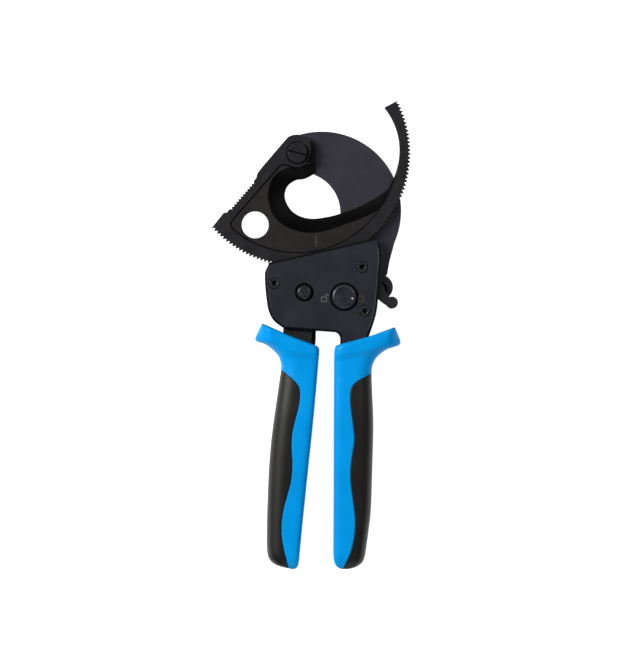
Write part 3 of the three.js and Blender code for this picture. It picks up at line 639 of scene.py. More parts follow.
def moving_blade():
    blade = plate("toothed_blade", blade_outline(), BLADE_BACK, BLADE_FRONT)
    edge_z = BLADE_BACK + LAND
    cut(
        blade,
        # The panel's sloped walls take slot 3, painted shade along the step.
        pocket("panel", panel_outline(), PANEL, BLADE_FRONT, PANEL_DRAFT, 4, 3),
        ground_cutter(
            "bevel", spline(CUTTING_EDGE, EDGE_STEPS), spline(BEVEL_LINE, EDGE_STEPS),
            [(46, -9), (13.5, -7)], (edge_z, PANEL, TOP), 1.25,
        ),
        # The patch beside the hub gets the near-black ground slot: painted shade.
        plate("hub side", HUB_SIDE_SHADE, PANEL - 0.1, TOP, slot=1),
        turned("hole", FINGER_HOLE, [
            (0, 0), (FINGER_HOLE_R, 0), (FINGER_HOLE_R, PANEL - 0.9),
            (FINGER_HOLE_R + FINGER_HOLE_CHAMFER, PANEL + 0.01),
            (FINGER_HOLE_R + FINGER_HOLE_CHAMFER, TOP), (0, TOP),
        ], 128),
        # A shallow ring round the bolt's head in slot 3: a painted shadow round the head.
        rod("head seat", PIVOT, HEAD_SEAT_R, BLADE_FRONT - 0.5, TOP, 96, 3),
        rod("centre mark", CENTRE_MARK, 1.0, PANEL - 0.15, TOP, 48, 4),
        rod("bore", PIVOT, BUSH_R + GAP, 0, TOP),
    )
    soften(blade, 0.2, worn_highlight=2, crease_shade=3)
    finish_piece(
        blade, "blade", "moving_blade", "blade_steel",
        BLADE_RIM, BLADE_GROUND, WORN_EDGE_AND_HIGHLIGHT, PAINTED_SHADE, BLADE_PANEL,
    )


moving_blade()


# ---- plates of the body

COVER_TOP_LEFT, COVER_TOP_RIGHT = (-16.0, -63.0), (45.3, -48.8)
BODY_LEFT = [
    (-18.5, -68.5), (-18.4, -75), (-17.4, -84.9), (-16.2, -91), (-13.2, -96.4), (-7.2, -100.9),
]
BODY_RIGHT = [
    (47.4, -53.0), (48.2, -60.5), (47.3, -70.4), (46.6, -80.3), (45.6, -90.2), (43.6, -98),
    (40.8, -106),
]
CROTCH = (20.9, -106.6, 3.9)
TANG_LEFT, TANG_RIGHT, TANG_TOP = 27.0, 38.0, -113.0
THROAT = (1.5, -34.0, 23.3)
HOOK_BACK = (14.1, -33.0, 45.7)
EAR = (47.9, -76.9)
EAR_R = 7.2
EAR_POCKET = [
    (48.2, -73.6), (49.9, -74.1), (51.2, -75.7), (51.8, -77.4), (51.5, -79.2), (50.6, -80.7),
    (48.6, -79.6),
]
EAR_POCKET_FLOOR = 6.5
RECESS_FLOOR = COVER_FRONT - 0.8
HANDLE_PIN_RECESS_R = 5.5
LOCK_RECESS_R = 8.2
LOCK_BORE_FLOOR = 6.0
CAM_SHAFT_R, CAM_NECK_R = 2.3, 3.5
COVER_CHAMFER = 1.25
HIGHLIGHT_FROM = 40.9  # x beyond which the cover's break is painted lighter, a painted highlight on its right edge
BREAK_WIDTH, BREAK_DEPTH = 0.4, 0.14
SCREW_HEAD_R = 3.2
SCREW_HEAD_BACK = 16.2
SOCKET_R = 1.9
SOCKET_DEPTH = 1.1
BOSS_R = 9.9


def tang(end):
    return [
        (TANG_RIGHT, TANG_TOP - 2), (TANG_RIGHT, end + 2), (TANG_RIGHT - 2, end),
        (TANG_LEFT + 2, end), (TANG_LEFT, end + 2), (TANG_LEFT, TANG_TOP - 2),
        (CROTCH[0] + CROTCH[2], TANG_TOP + 3),
    ]


def body_lower(end):
    """From the end of the right side, round the tang and the crotch, and up the left side."""
    return [
        *tang(end),
        *arc(*CROTCH, 0, 86, 14),
        *spline(BODY_LEFT, 60)[::-1],
        COVER_TOP_LEFT,
    ]


def through_holes(nodes_and_radii, back=0.0):
    return [
        rod("hole", centre(node), r + GAP, back, TOP, 64) for node, r in nodes_and_radii
    ]


FASTENERS = [
    *((f"cover_screw_{name}", SCREW_R) for name in SCREWS),
    *((rivet, RIVET_R) for rivet in RIVETS),
]


def fixed_blade():
    outline = [
        *arc(*HOOK_BACK, 115, -23.5, 120),
        *spline([(54.3, -57.6), (53.1, -62.2), (51.8, -69.4)], 10),
        *spline(BODY_RIGHT, 60)[26:],
        *body_lower(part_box("fixed_blade")[0].y / MM),
        *arc(*THROAT, -102, 68, 120),
        *arc(0, 0, BOSS_R, -52, -238, 60),
    ]
    blade = plate("hooked_blade", outline, PLATE_BACK, PLATE_FRONT)
    join(blade, rod("ear", EAR, EAR_R, PLATE_BACK, PLATE_FRONT))
    x, y, r = THROAT
    cut(
        blade,
        ground_cutter(
            "bevel", arc(x, y, r, -58, 74, 110), arc(x, y, r + 6, -58, 74, 110),
            [(x + 4, y + 3), (x + 4, y - 3)],
            (PLATE_FRONT - LAND, PLATE_BACK, -TOP), 1.0,
        ),
        *through_holes([
            ("pivot_bolt", BOLT_R), ("handle_pivot_pin", PIN_R), ("hold_pawl_pin", PAWL_PIN_R),
            *FASTENERS,
        ]),
        rod("lock bore", LOCK, CAM_SHAFT_R + GAP, LOCK_BORE_FLOOR, TOP, 64),
        # The ear's pocket is floored in slot 3: painted shade.
        plate("pocket", spline(EAR_POCKET, 40), EAR_POCKET_FLOOR, TOP, slot=3),
    )
    soften(blade, 0.25, worn_highlight=2)
    finish_piece(
        blade, "fixed_half", "fixed_blade", "fixed_steel", FIXED, FIXED_GROUND, WORN_EDGE_AND_HIGHLIGHT, PAINTED_SHADE,
    )


def front_cover():
    outline = [
        COVER_TOP_RIGHT,
        *spline(BODY_RIGHT, 60),
        *body_lower(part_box("front_cover")[0].y / MM),
    ]
    # The cover's sides and chamfer are painted near-black as shade, and its break on the right side
    # is painted lighter as a highlight.
    cover = chamfered_plate(
        "cover_plate", outline, COVER_BACK, COVER_FRONT, COVER_CHAMFER, 4, 2, HIGHLIGHT_FROM,
    )
    cut(
        cover,
        *through_holes([("handle_pivot_pin", PIN_R), ("lock_knob", CAM_NECK_R), *FASTENERS]),
        *through_holes(
            [(f"cover_screw_{name}", SCREW_HEAD_R) for name in SCREWS], SCREW_HEAD_BACK - GAP,
        ),
        # The recesses round the pin and the knob take slot 3: painted shade round them.
        rod("pin recess", HANDLE_PIVOT, HANDLE_PIN_RECESS_R, RECESS_FLOOR, TOP, 96, 3),
        rod("lock recess", LOCK, LOCK_RECESS_R, RECESS_FLOOR, TOP, 128, 3),
    )
    soften(cover, 0.16, worn_highlight=1, crease_shade=3)
    finish_piece(
        cover, "fixed_half", "front_cover", "cover_steel",
        COVER, WORN_EDGE_AND_HIGHLIGHT, WORN_EDGE_AND_HIGHLIGHT, PAINTED_SHADE, COVER_SIDE_SHADE,
    )


def tang_spacer():
    back, front = layer("tang_spacer")
    spacer = plate("tang_packing", [
        (28.5, -107.5), (38, -107.5), (37.5, -138), (27.5, -138), (27.5, -114),
    ], back, front)
    cut(spacer, *through_holes([(rivet, RIVET_R) for rivet in RIVETS]))
    soften(spacer, 0.25)
    finish_piece(spacer, "fixed_half", "tang_spacer", "link_steel", LINK)


fixed_blade()
front_cover()
tang_spacer()


# ---- fasteners and round pieces

def hexagon(name, place, r, back, front, turn=0.0, slot=0):
    corners = [polar(r, 60 * i + turn, *place) for i in range(6)]
    return plate(name, corners, back, front, slot)


def cover_screw(name):
    node = f"cover_screw_{name}"
    place = centre(node)
    back, front = layer(node)
    screw = turned(f"cap_screw_{name}", place, [
        (0, back), (SCREW_R, back), (SCREW_R, SCREW_HEAD_BACK), (SCREW_HEAD_R, SCREW_HEAD_BACK),
        (SCREW_HEAD_R, front - 0.3), (SCREW_HEAD_R - 0.3, front), (0, front),
    ])
    # The socket takes material slot 1: painted shade.
    cut(screw, hexagon("socket", place, SOCKET_R, front - SOCKET_DEPTH, TOP, 12, slot=1))
    soften(screw, 0.1, worn_highlight=2)
    finish_piece(screw, "fixed_half", node, "black_fastener", BLACK, PAINTED_SHADE, WORN_EDGE_AND_HIGHLIGHT)


def pivot_bolt():
    back, front = layer("pivot_bolt")
    bolt = turned("slotted_pivot_bolt", PIVOT, [
        (0, back), (BOLT_R - 0.4, back), (BOLT_R, back + 0.4), (BOLT_R, COVER_BACK),
        (BOLT_HEAD_R, COVER_BACK), (BOLT_HEAD_R, front - 0.5), (BOLT_HEAD_R - 0.4, front),
        (0, front),
    ], 128)
    slot_ends = [offset(PIVOT, -14, along, across)
                 for along, across in ((-9, -0.5), (9, -0.5), (9, 0.5), (-9, 0.5))]
    # The screwdriver slot takes material slot 1: painted shade.
    cut(bolt, plate("slot", slot_ends, front - 1.2, TOP, slot=1))
    soften(bolt, 0.14, worn_highlight=2)
    finish_piece(bolt, "fixed_half", "pivot_bolt", "black_fastener", BLACK, PAINTED_SHADE, WORN_EDGE_AND_HIGHLIGHT)


def pivot_nut():
    back, front = layer("pivot_nut")
    nut = hexagon("hex_nut", PIVOT, 7.4, back, front)
    chamfer = turned("chamfer", PIVOT, [
        (0, back - 1), (12, back - 1), (12, back + 2.6), (6.2, back - 0.35), (0, back - 0.35),
    ])
    cut(nut, rod("bore", PIVOT, BOLT_R + GAP, 0, TOP), chamfer)
    soften(nut, 0.15, worn_highlight=1)
    finish_piece(nut, "fixed_half", "pivot_nut", "black_fastener", BLACK, WORN_EDGE_AND_HIGHLIGHT)


def round_piece(name, node, body, material, profile, bore=None, edge=0.12):
    """A turned piece with softened edges, and a bore of some radius if it has one. The
    material comes with the name of its slot."""
    place = centre(node)
    piece = turned(name, place, profile)
    if bore:
        cut(piece, rod("bore", place, bore, -1, TOP))
    soften(piece, edge, worn_highlight=1)
    slot_name, surface = material
    finish_piece(piece, body, node, slot_name, surface, WORN_EDGE_AND_HIGHLIGHT)


def disc(name, node, body, material, r, bore=None, edge=0.12):
    """A round piece of one radius, as high as its node."""
    back, front = layer(node)
    profile = [(0, back), (r, back), (r, front), (0, front)]
    round_piece(name, node, body, material, profile, bore, edge)


def headed_pin():
    back, front = layer("handle_pivot_pin")
    round_piece("headed_pin", "handle_pivot_pin", "fixed_half", ("black_fastener", PIN_FACE), [
        (0, back), (PIN_R, back), (PIN_R, RECESS_FLOOR + GAP), (3.9, RECESS_FLOOR + GAP),
        (3.9, front - 0.55), (3.45, front - 0.15), (2.9, front), (2.2, front - 0.04),
        (1.9, front - 0.16), (0, front - 0.16),
    ])


TUBE, AXLE = ("link_steel", LINK), ("bright_steel", BRIGHT)
for screw_name in SCREWS:
    cover_screw(screw_name)
    disc(f"tube_{screw_name}", f"spacer_{screw_name}", "fixed_half", TUBE, 3.7, SCREW_R + GAP)
for number, rivet_name in enumerate(RIVETS):
    disc(f"rivet_{number + 1}", rivet_name, "fixed_half", AXLE, RIVET_R)
pivot_bolt()
pivot_nut()
disc("bronze_bush", "pivot_bush", "fixed_half", ("bush_bronze", BRONZE), BUSH_R, BUSH_BORE_R)
headed_pin()
disc("pawl_axle", "drive_pawl_pin", "moving_handle", AXLE, PAWL_PIN_R)
disc("release_axle", "hold_pawl_pin", "fixed_half", AXLE, PAWL_PIN_R)
disc(
    "wave_washer", "lock_friction_washer", "fixed_half", ("spring_steel", WIRE), 6.1, 4.0, 0.05,
)


def retaining_ring():
    place = HANDLE_PIVOT
    back, front = layer("handle_pivot_clip")
    ring = rod("e_clip", place, 5.4, back, front)
    x, y = place
    mouth = [(x - 1.2, y), (x + 1.2, y), (x + 1.6, y - 7), (x - 1.6, y - 7)]
    cut(ring, rod("bore", place, PIN_R + GAP, -1, TOP), plate("mouth", mouth, -1, TOP))
    soften(ring, 0.12)
    finish_piece(ring, "fixed_half", "handle_pivot_clip", "bright_steel", BRIGHT)


retaining_ring()


# ---- moving handle and pawls

SHANK_LEFT = [(-7.6, -88), (-8.2, -108), (-7.9, -113), (-5.2, -119), (-5.6, -134), (-10, -192)]
SHANK_RIGHT = [(0.6, -192), (6.6, -125), (9.9, -114), (10.6, -108), (11.2, -88)]
LINK_MIDDLE = 12.0  # the handle's ear lies below this, the drive pawl above it
HUB_R = 8.0
EAR_HUB_R = 4.2
PAWL_HUB_R = 4.0
SPRING_SEAT_R, SPRING_SEAT_FRONT = 5.6, 11.4


def tangent_plate(name, a, ra, b, rb, back, front):
    towards = math.degrees(math.atan2(b[1] - a[1], b[0] - a[0]))
    outline = arc(*a, ra, towards + 90, towards + 270, 30)
    outline += arc(*b, rb, towards - 90, towards + 90, 30)
    return plate(name, outline, back, front)


def slanted_edge():
    """The space over the long chamfer on the bar's inner edge."""
    top, bottom = (11.6, -90.0), (10.3, -111.5)
    width, depth = 2.4, 3.2
    rings = []
    for x, y in (top, bottom):
        rings.append([
            (x - width, y, SHANK_FRONT), (x - width, y, TOP), (x + 2, y, TOP),
            (x + 2, y, SHANK_FRONT - depth - 2 * depth / width),
        ])
    # The chamfer takes material slot 3: painted shade.
    return edit_mesh(stack("slant", rings, slot=3), outward)


def handle_shank():
    shank = plate("handle_bar", SHANK_LEFT + SHANK_RIGHT, SHANK_BACK, SHANK_FRONT)
    join(
        shank,
        rod("hub", HANDLE_PIVOT, HUB_R, SHANK_BACK, LINK_MIDDLE),
        tangent_plate("ear", HANDLE_PIVOT, 6, PAWL_PIVOT, EAR_HUB_R, SHANK_BACK, LINK_MIDDLE),
        plate("shoulder", [(-3.9, -80), (-7.6, -88.5), (11.2, -88.5), (12.1, -80)],
              SHANK_BACK, LINK_MIDDLE),
        plate("neck", [(-1.1, -80), (-7.6, -88.5), (7.6, -88.5), (9.3, -80)],
              LINK_MIDDLE - 1, SHANK_FRONT),
        rod("front hub", HANDLE_PIVOT, BUSH_R, LINK_MIDDLE - 1, SHANK_FRONT),
    )
    cut(
        shank,
        rod("pawl seat", PAWL_PIVOT, PAWL_HUB_R + GAP, LINK_MIDDLE, TOP),
        rod("pivot bore", HANDLE_PIVOT, PIN_R + GAP, 0, TOP),
        rod("spring seat", HANDLE_PIVOT, SPRING_SEAT_R, 0, SPRING_SEAT_FRONT),
        rod("pawl bore", PAWL_PIVOT, PAWL_PIN_R + GAP, 0, TOP),
        slanted_edge(),
    )
    soften(shank, 0.2, worn_highlight=1)
    finish_piece(
        shank, "moving_handle", "handle_shank", "link_steel", LINK, WORN_EDGE_AND_HIGHLIGHT, WORN_EDGE_AND_HIGHLIGHT, PAINTED_SHADE,
    )


def drive_pawl():
    back, front = layer("drive_pawl")
    reach = math.hypot(*PAWL_PIVOT)
    tip_r = TIP_R + GAP
    length = 26.0
    opening = (reach ** 2 + length ** 2 - tip_r ** 2) / (2 * reach * length)
    along = math.degrees(math.atan2(-PAWL_PIVOT[1], -PAWL_PIVOT[0]) - math.acos(opening))
    outline = [offset(PAWL_PIVOT, along, a, b) for a, b in (
        (0, -3.2), (14, -3.0), (22, -3.4), (length - 0.6, -2.6), (length, 0), (22.4, 1.7),
        (14, 2.2), (0, 2.6),
    )]
    pawl = plate("advance_pawl_plate", outline, back, front)
    join(pawl, rod("hub", PAWL_PIVOT, PAWL_HUB_R, back, front))
    cut(
        pawl, rod("bore", PAWL_PIVOT, PAWL_PIN_R + GAP, 0, TOP),
        rod("seat", PAWL_PIVOT, 3.3, 13.4, TOP),
    )
    soften(pawl, 0.15)
    finish_piece(pawl, "advance_pawl", "drive_pawl", "bright_steel", BRIGHT)


BALL = (54.4, -85.8)
BALL_R = 3.45


def hold_pawl():
    back, front = layer("hold_pawl")
    tip_r = TIP_R + GAP + 0.1
    outline = [
        *spline([(39.6, -74.5), (42.0, -68.5), (42.1, -60.0), (40.4, -55.4)], 24),
        polar(tip_r, -52.3), polar(tip_r, -49.0),
        *spline([(45.0, -54.5), (46.2, -60.0), (46.9, -68.5), (47.6, -72.6), (49.3, -75.4),
                 (50.7, -79.4), (52.6, -82.2), (55.4, -83.0)], 48),
        (56.2, -85.8), (55.4, -88.6),
        *spline([(53.0, -88.6), (48.6, -85.6), (45.2, -82.6), (43.2, -81.4), (41.0, -77.2)], 30),
    ]
    pawl = plate("release_lever", outline, back, front)
    join(
        pawl, rod("hub", HOLD_PIVOT, 4.2, back, front), rod("ball", BALL, BALL_R, back, front),
    )
    cut(pawl, rod("bore", HOLD_PIVOT, PAWL_PIN_R + GAP, 0, TOP))
    soften(pawl, 0.7, 4, angle=40, worn_highlight=1)
    finish_piece(pawl, "release", "hold_pawl", "lever_steel", LEVER, LEVER)


def coil_spring(name, node, body, start, direction, radius, wire, length, turns):
    curve = bpy.data.curves.new(name, "CURVE")
    curve.dimensions = "3D"
    curve.bevel_depth = wire / 2 * MM
    curve.bevel_resolution = 4
    curve.use_fill_caps = True
    path = curve.splines.new("POLY")
    steps = round(turns * 36)
    path.points.add(steps)
    axis = Vector(direction).normalized()
    across = axis.orthogonal().normalized()
    up = axis.cross(across)
    for i, point in enumerate(path.points):
        angle = 2 * math.pi * turns * i / steps
        at = Vector(start) + axis * length * i / steps
        at += radius * (across * math.cos(angle) + up * math.sin(angle))
        point.co = (*(at * MM), 1)
    coil = new_object(name + "_path", curve)
    spring = new_object(name, evaluated_mesh(coil))
    bpy.data.objects.remove(coil)
    shade_smooth(spring)
    finish_piece(spring, body, node, "spring_steel", WIRE)


handle_shank()
drive_pawl()
hold_pawl()
coil_spring(
    "return_spring_wire", "handle_return_spring", "moving_handle",
    (*HANDLE_PIVOT, 10.2), (0, 0, 1), 4.5, 0.45, 0.85, 1.4,
)
coil_spring(
    "pawl_spring_wire", "drive_pawl_spring", "advance_pawl",
    (*PAWL_PIVOT, 13.85), (0, 0, 1), 2.65, 0.35, 0.5, 1.2,
)
coil_spring(
    "release_spring_wire", "hold_pawl_spring", "fixed_half",
    (41.7, -87.5, 12.25), (0.55, 0.83, 0), 1.4, 0.45, 4.2, 4.5,
)


# ---- lock

def lock_knob():
    back, front = layer("lock_knob")
    knob = turned("lock_button", LOCK, [
        (0, back), (6.7, back), (7.0, back + 0.3), (7.0, front - 0.95), (6.15, front - 0.1),
        (5.6, front), (5.1, front - 0.15), (2.6, front - 0.25), (0, front - 0.28),
    ], 128)
    soften(knob, 0.12, worn_highlight=1)
    finish_piece(knob, "lock", "lock_knob", "black_fastener", KNOB, WORN_EDGE_AND_HIGHLIGHT)
    dot = turned("indicator_dot", (31.6, -83.5), [
        (0, front - 0.5), (0.5, front - 0.5), (0.5, front - 0.07), (0.4, front), (0, front),
    ], 32)
    shade_smooth(dot)
    finish_piece(dot, "lock", None, "black_fastener", DOT_MARK)


def lock_cam():
    back, front = layer("lock_cam")
    cam = turned("cam_shaft", LOCK, [
        (0, back), (CAM_SHAFT_R, back), (CAM_SHAFT_R, BLADE_BACK), (CAM_NECK_R, BLADE_BACK),
        (CAM_NECK_R, front), (0, front),
    ])
    nose_r, angle = 8.0, 192
    nose = [offset(LOCK, angle, a, b) for a, b in (
        (0, -3), (0, 3), (nose_r - 0.6, 1.8), (nose_r, 0.8), (nose_r, -0.8), (nose_r - 0.6, -1.8),
    )]
    join(cam, plate("nose", nose, 9.9, LINK_MIDDLE))
    soften(cam, 0.15)
    finish_piece(cam, "lock", "lock_cam", "bright_steel", BRIGHT)


def ribbon(points, width):
    """The outline of a stroke along some points."""
    left, right = [], []
    for i, (x, y) in enumerate(points):
        before, after = points[max(i - 1, 0)], points[min(i + 1, len(points) - 1)]
        towards = math.degrees(math.atan2(after[1] - before[1], after[0] - before[0]))
        left.append(offset((x, y), towards, 0, width / 2))
        right.append(offset((x, y), towards, 0, -width / 2))
    return left + right[::-1]


def padlock(name, place, shackle_shift, material):
    """A printed padlock: a square outline with a shackle over it."""
    x, y = place
    half, line, thick = 1.5, 0.3, 0.05
    back, front = COVER_FRONT - 0.02, COVER_FRONT + thick
    low, high = y - 1.5, y + 0.9
    walls = [
        [(x - half, low), (x + half, low)], [(x - half, high), (x + half, high)],
        [(x - half, low), (x - half, high)], [(x + half, low), (x + half, high)],
    ]
    shackle_x = x + shackle_shift
    shackle = [(shackle_x - 0.85, high), (shackle_x - 0.85, high + 0.7)]
    shackle += arc(shackle_x, high + 0.7, 0.85, 180, 0, 14)
    shackle += [(shackle_x + 0.85, high + (0.1 if shackle_shift == 0 else 0.6))]
    strokes = [plate(name, ribbon(s, line), back, front) for s in [*walls, shackle]]
    mark = join(strokes[0], *strokes[1:])
    finish_piece(mark, "fixed_half", None, "cover_steel", material)


lock_knob()
lock_cam()
padlock("open_padlock_mark", (15.4, -83.6), 1.6, WHITE_MARK)
padlock("closed_padlock_mark", (36.6, -83.6), 0.0, RED_MARK)


def scribed_line():
    line = ribbon([(10.7, -47.6), (10.7, -53.9)], 0.22)
    mark = plate("scribed_line", line, PANEL - 0.05, PANEL + 0.02)
    finish_piece(mark, "blade", None, "blade_steel", SCRIBE)


scribed_line()


# ---- grips

# A grip's left and right side and the line between its hard and its soft part run from top to
# bottom. `side` says where the soft part is, and `facet` where the guard's end starts.
LEFT_GRIP = {
    "left": [
        (-20.2, -97.9), (-22.6, -102.5), (-24.0, -107.6), (-18.1, -109.9), (-11.9, -115.1),
        (-9.7, -119.4), (-9.3, -124.3), (-10.6, -133.5), (-14.4, -160.5), (-16.2, -180.8),
        (-17.2, -204.5), (-17.5, -221.9), (-17.1, -230.0), (-15.6, -233.8), (-12.6, -236.2),
        (-8.9, -237.4), (-4.4, -238.3), (-2.8, -238.6),
    ],
    "right": [
        (-19.4, -97.9), (-11.6, -101.4), (-3.1, -105.2), (9.3, -109.8), (12.4, -111.6),
        (12.7, -115.0), (12.3, -119.4), (10.4, -141.7), (8.6, -160.5), (5.8, -187),
        (3.3, -211.4), (1.7, -227.9), (1.1, -234.2), (0.2, -237.2), (-1.0, -238.3),
        (-2.2, -238.6),
    ],
    "soft": [
        (-9.3, -124.3), (-3.1, -129.1), (0.9, -133.5), (1.8, -138.0), (1.0, -145.5),
        (-2.3, -158.5), (-3.1, -167.6), (-2.6, -177.4), (-3.3, -187.7), (-5.6, -196.5),
        (-8.0, -205.5), (-8.9, -214.5), (-8.0, -224.0), (-4.7, -237.9), (-4.2, -242),
    ],
    "side": -1,
    "facet": -15.6,
}
RIGHT_GRIP = {
    "left": [
        (55.2, -100.1), (48.5, -102.6), (40.9, -105.3), (24.0, -109.8), (21.9, -111.6),
        (21.3, -116.0), (21.1, -141.7), (21.0, -160), (20.9, -187), (20.8, -211),
        (20.7, -229), (21.0, -233.7), (22.2, -236.6), (24.4, -238.2), (26.5, -238.6),
    ],
    "right": [
        (56.2, -100.1), (58.0, -104.0), (59.1, -109.8), (51.5, -112.8), (46.2, -116.8),
        (43.6, -121.2), (42.8, -126.5), (43.1, -137), (43.8, -156), (43.2, -180.8),
        (42.4, -204.4), (40.9, -218.0), (39.8, -226.1), (38.9, -231.6), (37.4, -235.0),
        (34.2, -237.4), (31.0, -238.3), (29.0, -238.6),
    ],
    "soft": [
        (42.7, -126.5), (36.5, -129.5), (32.1, -132.7), (30.4, -137.5), (30.6, -145.5),
        (32.4, -159.5), (32.5, -165.5), (30.6, -179.0), (30.6, -188.5), (32.3, -201.7),
        (33.2, -210.5), (32.7, -219.0), (30.6, -228.0), (26.3, -238.3), (25.4, -242),
    ],
    "side": 1,
    "facet": 52.6,
}
SOFT_DEPTH = 1.8
GUARD_STEP = 1.3  # how far the neck lies behind the guard's face
SEAM = 0.08  # width of the groove between the hard and the soft grip
SOFT_SQUARENESS = 2.5  # exponents of the two sides of a section, as superellipses
HARD_SQUARENESS = 7.0
GUARD_SLOPE = 0.16  # how the guard's lower edge climbs away from the other handle
FACET_SLOPE = 0.42  # how the guard's face falls off beyond the facet line near its end
HARD_POINTS, SOFT_POINTS = 72, 44


def side_at(side, y):
    """Where an outline's side is at height y."""
    for above, below in zip(side, side[1:]):
        if below[1] <= y <= above[1]:
            return lerp(above, below, (above[1] - y) / max(above[1] - below[1], 1e-6))[0]
    return side[0][0] if y > side[0][1] else side[-1][0]


def smoothstep(value, low, high):
    t = min(max((value - low) / (high - low), 0.0), 1.0)
    return t * t * (3 - 2 * t)


def half_thickness(y, across):
    """Half of a grip's thickness, at some distance from its inner side."""
    below = -y + GUARD_SLOPE * across
    waist = GUARD_STEP * smoothstep(below, 115.5, 120.0) * (1 - smoothstep(below, 126, 156))
    end = max(0.0, (-229.5 - y) / 9.2)
    return (GRIP_FRONT - GRIP_BACK) / 2 - waist - 4.4 * (1 - math.sqrt(max(0.0, 1 - end ** 2)))


class Section:
    """A grip's rounded section at one height, with +x to its soft side. Each side is half a
    superellipse. A place on it is given by its polar angle from the middle of the soft side."""

    def __init__(self, grip, y):
        left, right = side_at(grip["left"], y), side_at(grip["right"], y)
        self.y = y
        self.side = grip["side"]
        self.facet = grip["facet"]
        self.middle = (left + right) / 2
        self.wide = max((right - left) / 2, 0.15)
        self.thick = (GRIP_FRONT - GRIP_BACK) / 2
        self.seam_x = self.side * (side_at(grip["soft"], y) - self.middle)
        if y > grip["soft"][0][1]:
            self.seam_x = self.wide

    def squareness(self, x):
        return SOFT_SQUARENESS if x > 0 else HARD_SQUARENESS

    def angle(self, x):
        """The angle of the point of the front that lies at x."""
        x = min(max(x, -0.999 * self.wide), 0.9999 * self.wide)
        power = self.squareness(x)
        return math.atan2(self.thick * (1 - abs(x / self.wide) ** power) ** (1 / power), x)

    def at(self, angle, inset):
        wide, thick = max(self.wide - inset, 0.02), self.thick - inset
        across, up = math.cos(angle), math.sin(angle)
        power = self.squareness(across)
        r = (abs(across / wide) ** power + abs(up / thick) ** power) ** (-1 / power)
        x = self.middle + self.side * r * across
        local = half_thickness(self.y, self.wide + r * across) - inset
        local -= FACET_SLOPE * max(0.0, self.side * (x - self.facet))
        z = (GRIP_FRONT + GRIP_BACK) / 2 + r * up * max(local, 0.02) / thick
        return x, self.y, z

    def arc(self, start, end, inset, steps):
        return [self.at(start + (end - start) * i / steps, inset) for i in range(steps + 1)]

    def ring(self, side, gaps, depth, points):
        """The surface on one side of the seam, 1 for hard and -1 for soft, with a rounded lip
        at the seam, and the way back across the soft side at some depth."""
        edge, shoulder, face = (side * self.angle(self.seam_x - side * gap) for gap in gaps)
        deep = min(depth, 4 * (self.wide - self.seam_x))
        lip, slope = min(0.3, 0.5 * deep), min(0.06, 0.1 * deep)
        around = (1 + side) * math.pi
        return [
            self.at(edge, deep), self.at(edge, lip), self.at(shoulder, slope),
            *self.arc(face, around - face, 0.0, points),
            self.at(-shoulder, slope), self.at(-edge, lip), self.at(-edge, deep),
            *self.arc(-edge, edge, deep, SOFT_POINTS)[1:-1],
        ]

    def core(self):
        return self.ring(1, (0.0, 0.12, 0.35), SOFT_DEPTH + 0.1, HARD_POINTS)

    def sleeve(self):
        return self.ring(-1, (SEAM, 0.2, 0.45), SOFT_DEPTH, SOFT_POINTS)


def grip_heights(top, bottom):
    """Heights from top to bottom, closer together near the guard and the end."""
    heights = []
    y = top
    while y > bottom + 0.3:
        heights.append(y)
        if y > -128:
            y -= 0.8
        elif y > -226:
            y -= 2.0
        else:
            y -= 0.2 + 0.5 * min(1.0, (y - bottom) / 6)
    return heights + [bottom]


def close_points(mesh):
    """Joins the points that meet where a ring narrows."""
    bmesh.ops.remove_doubles(mesh, verts=mesh.verts, dist=0.01 * MM)
    bmesh.ops.dissolve_degenerate(mesh, edges=mesh.edges, dist=0.005 * MM)
    outward(mesh)


def loft_piece(name, rings):
    piece = edit_mesh(stack(name, rings), close_points)
    shade_smooth(piece)
    return piece


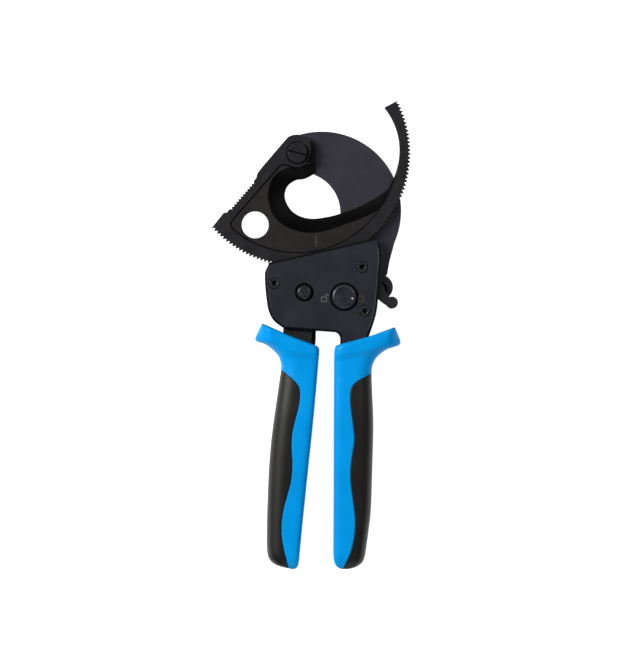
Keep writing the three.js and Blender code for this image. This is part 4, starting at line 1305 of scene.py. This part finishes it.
def grip(side_name, body, outline):
    fine = dict(outline)
    for key in ("left", "right", "soft"):
        fine[key] = spline(outline[key], 400)
    top = min(fine["left"][0][1], fine["right"][0][1])
    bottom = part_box(f"{side_name}_grip_core")[0].y / MM
    core = loft_piece(
        f"{side_name}_hard_grip", [Section(fine, y).core() for y in grip_heights(top, bottom)],
    )
    soft_top = fine["soft"][0][1] - 0.15
    sleeve = loft_piece(
        f"{side_name}_soft_grip",
        [Section(fine, y).sleeve() for y in grip_heights(soft_top, bottom)],
    )
    finish_piece(core, body, f"{side_name}_grip_core", "hard_grip", BLUE)
    finish_piece(sleeve, body, f"{side_name}_grip_sleeve", "soft_grip", RUBBER)


grip("left", "moving_handle", LEFT_GRIP)
grip("right", "fixed_half", RIGHT_GRIP)


# ---- floor, light and camera

def floor():
    mesh = bpy.data.meshes.new("floor")
    size = 2.5
    corners = [(-size, -size, 0), (size, -size, 0), (size, size, 0), (-size, size, 0)]
    mesh.from_pydata(corners, [], [(0, 1, 2, 3)])
    plane = new_object("floor", mesh)
    plane.location.z = -0.0002
    surface = Surface(
        "floor", Roughness=0.9, Specular_IOR_Level=0.1,
        Emission_Color=(1, 1, 1, 1), Emission_Strength=0.92,
    )
    surface.colours(surface.noise(200, 2), (0.3, (0.40, 0.40, 0.40)), (0.7, (0.42, 0.42, 0.42)))
    mesh.materials.append(surface.material)


def area_light(name, place, target, size, power):
    data = bpy.data.lights.new(name, "AREA")
    data.shape = "RECTANGLE"
    data.size, data.size_y = size
    data.energy = power
    light = new_object(name, data)
    light.location = place
    direction = Vector(target) - Vector(place)
    light.rotation_euler = direction.to_track_quat("-Z", "Y").to_euler()


def studio():
    middle = (0.01, -0.10, 0.0)
    area_light("key", (-1.05, 0.40, 0.95), middle, (0.5, 1.1), 31)
    area_light("side", (0.70, 0.40, 1.15), middle, (0.6, 0.8), 5)
    area_light("fill", (0.3, -1.4, 0.8), middle, (1.2, 0.5), 6)
    world = bpy.data.worlds.new("studio")
    world.use_nodes = True
    background = world.node_tree.nodes["Background"]
    background.inputs["Color"].default_value = (1, 1, 1, 1)
    background.inputs["Strength"].default_value = 0.18
    bpy.context.scene.world = world
    bpy.context.scene.view_settings.view_transform = "Standard"


def camera():
    view_middle = (0.0088, -0.1044)
    view_height = 0.3853
    distance = 1.5
    plane_height = COVER_FRONT * MM * 0.6
    data = bpy.data.cameras.new("camera")
    data.lens = data.sensor_width * distance / view_height
    lens = new_object("camera", data)
    lens.location = (*view_middle, plane_height + distance)
    bpy.context.scene.camera = lens


floor()
studio()
camera()
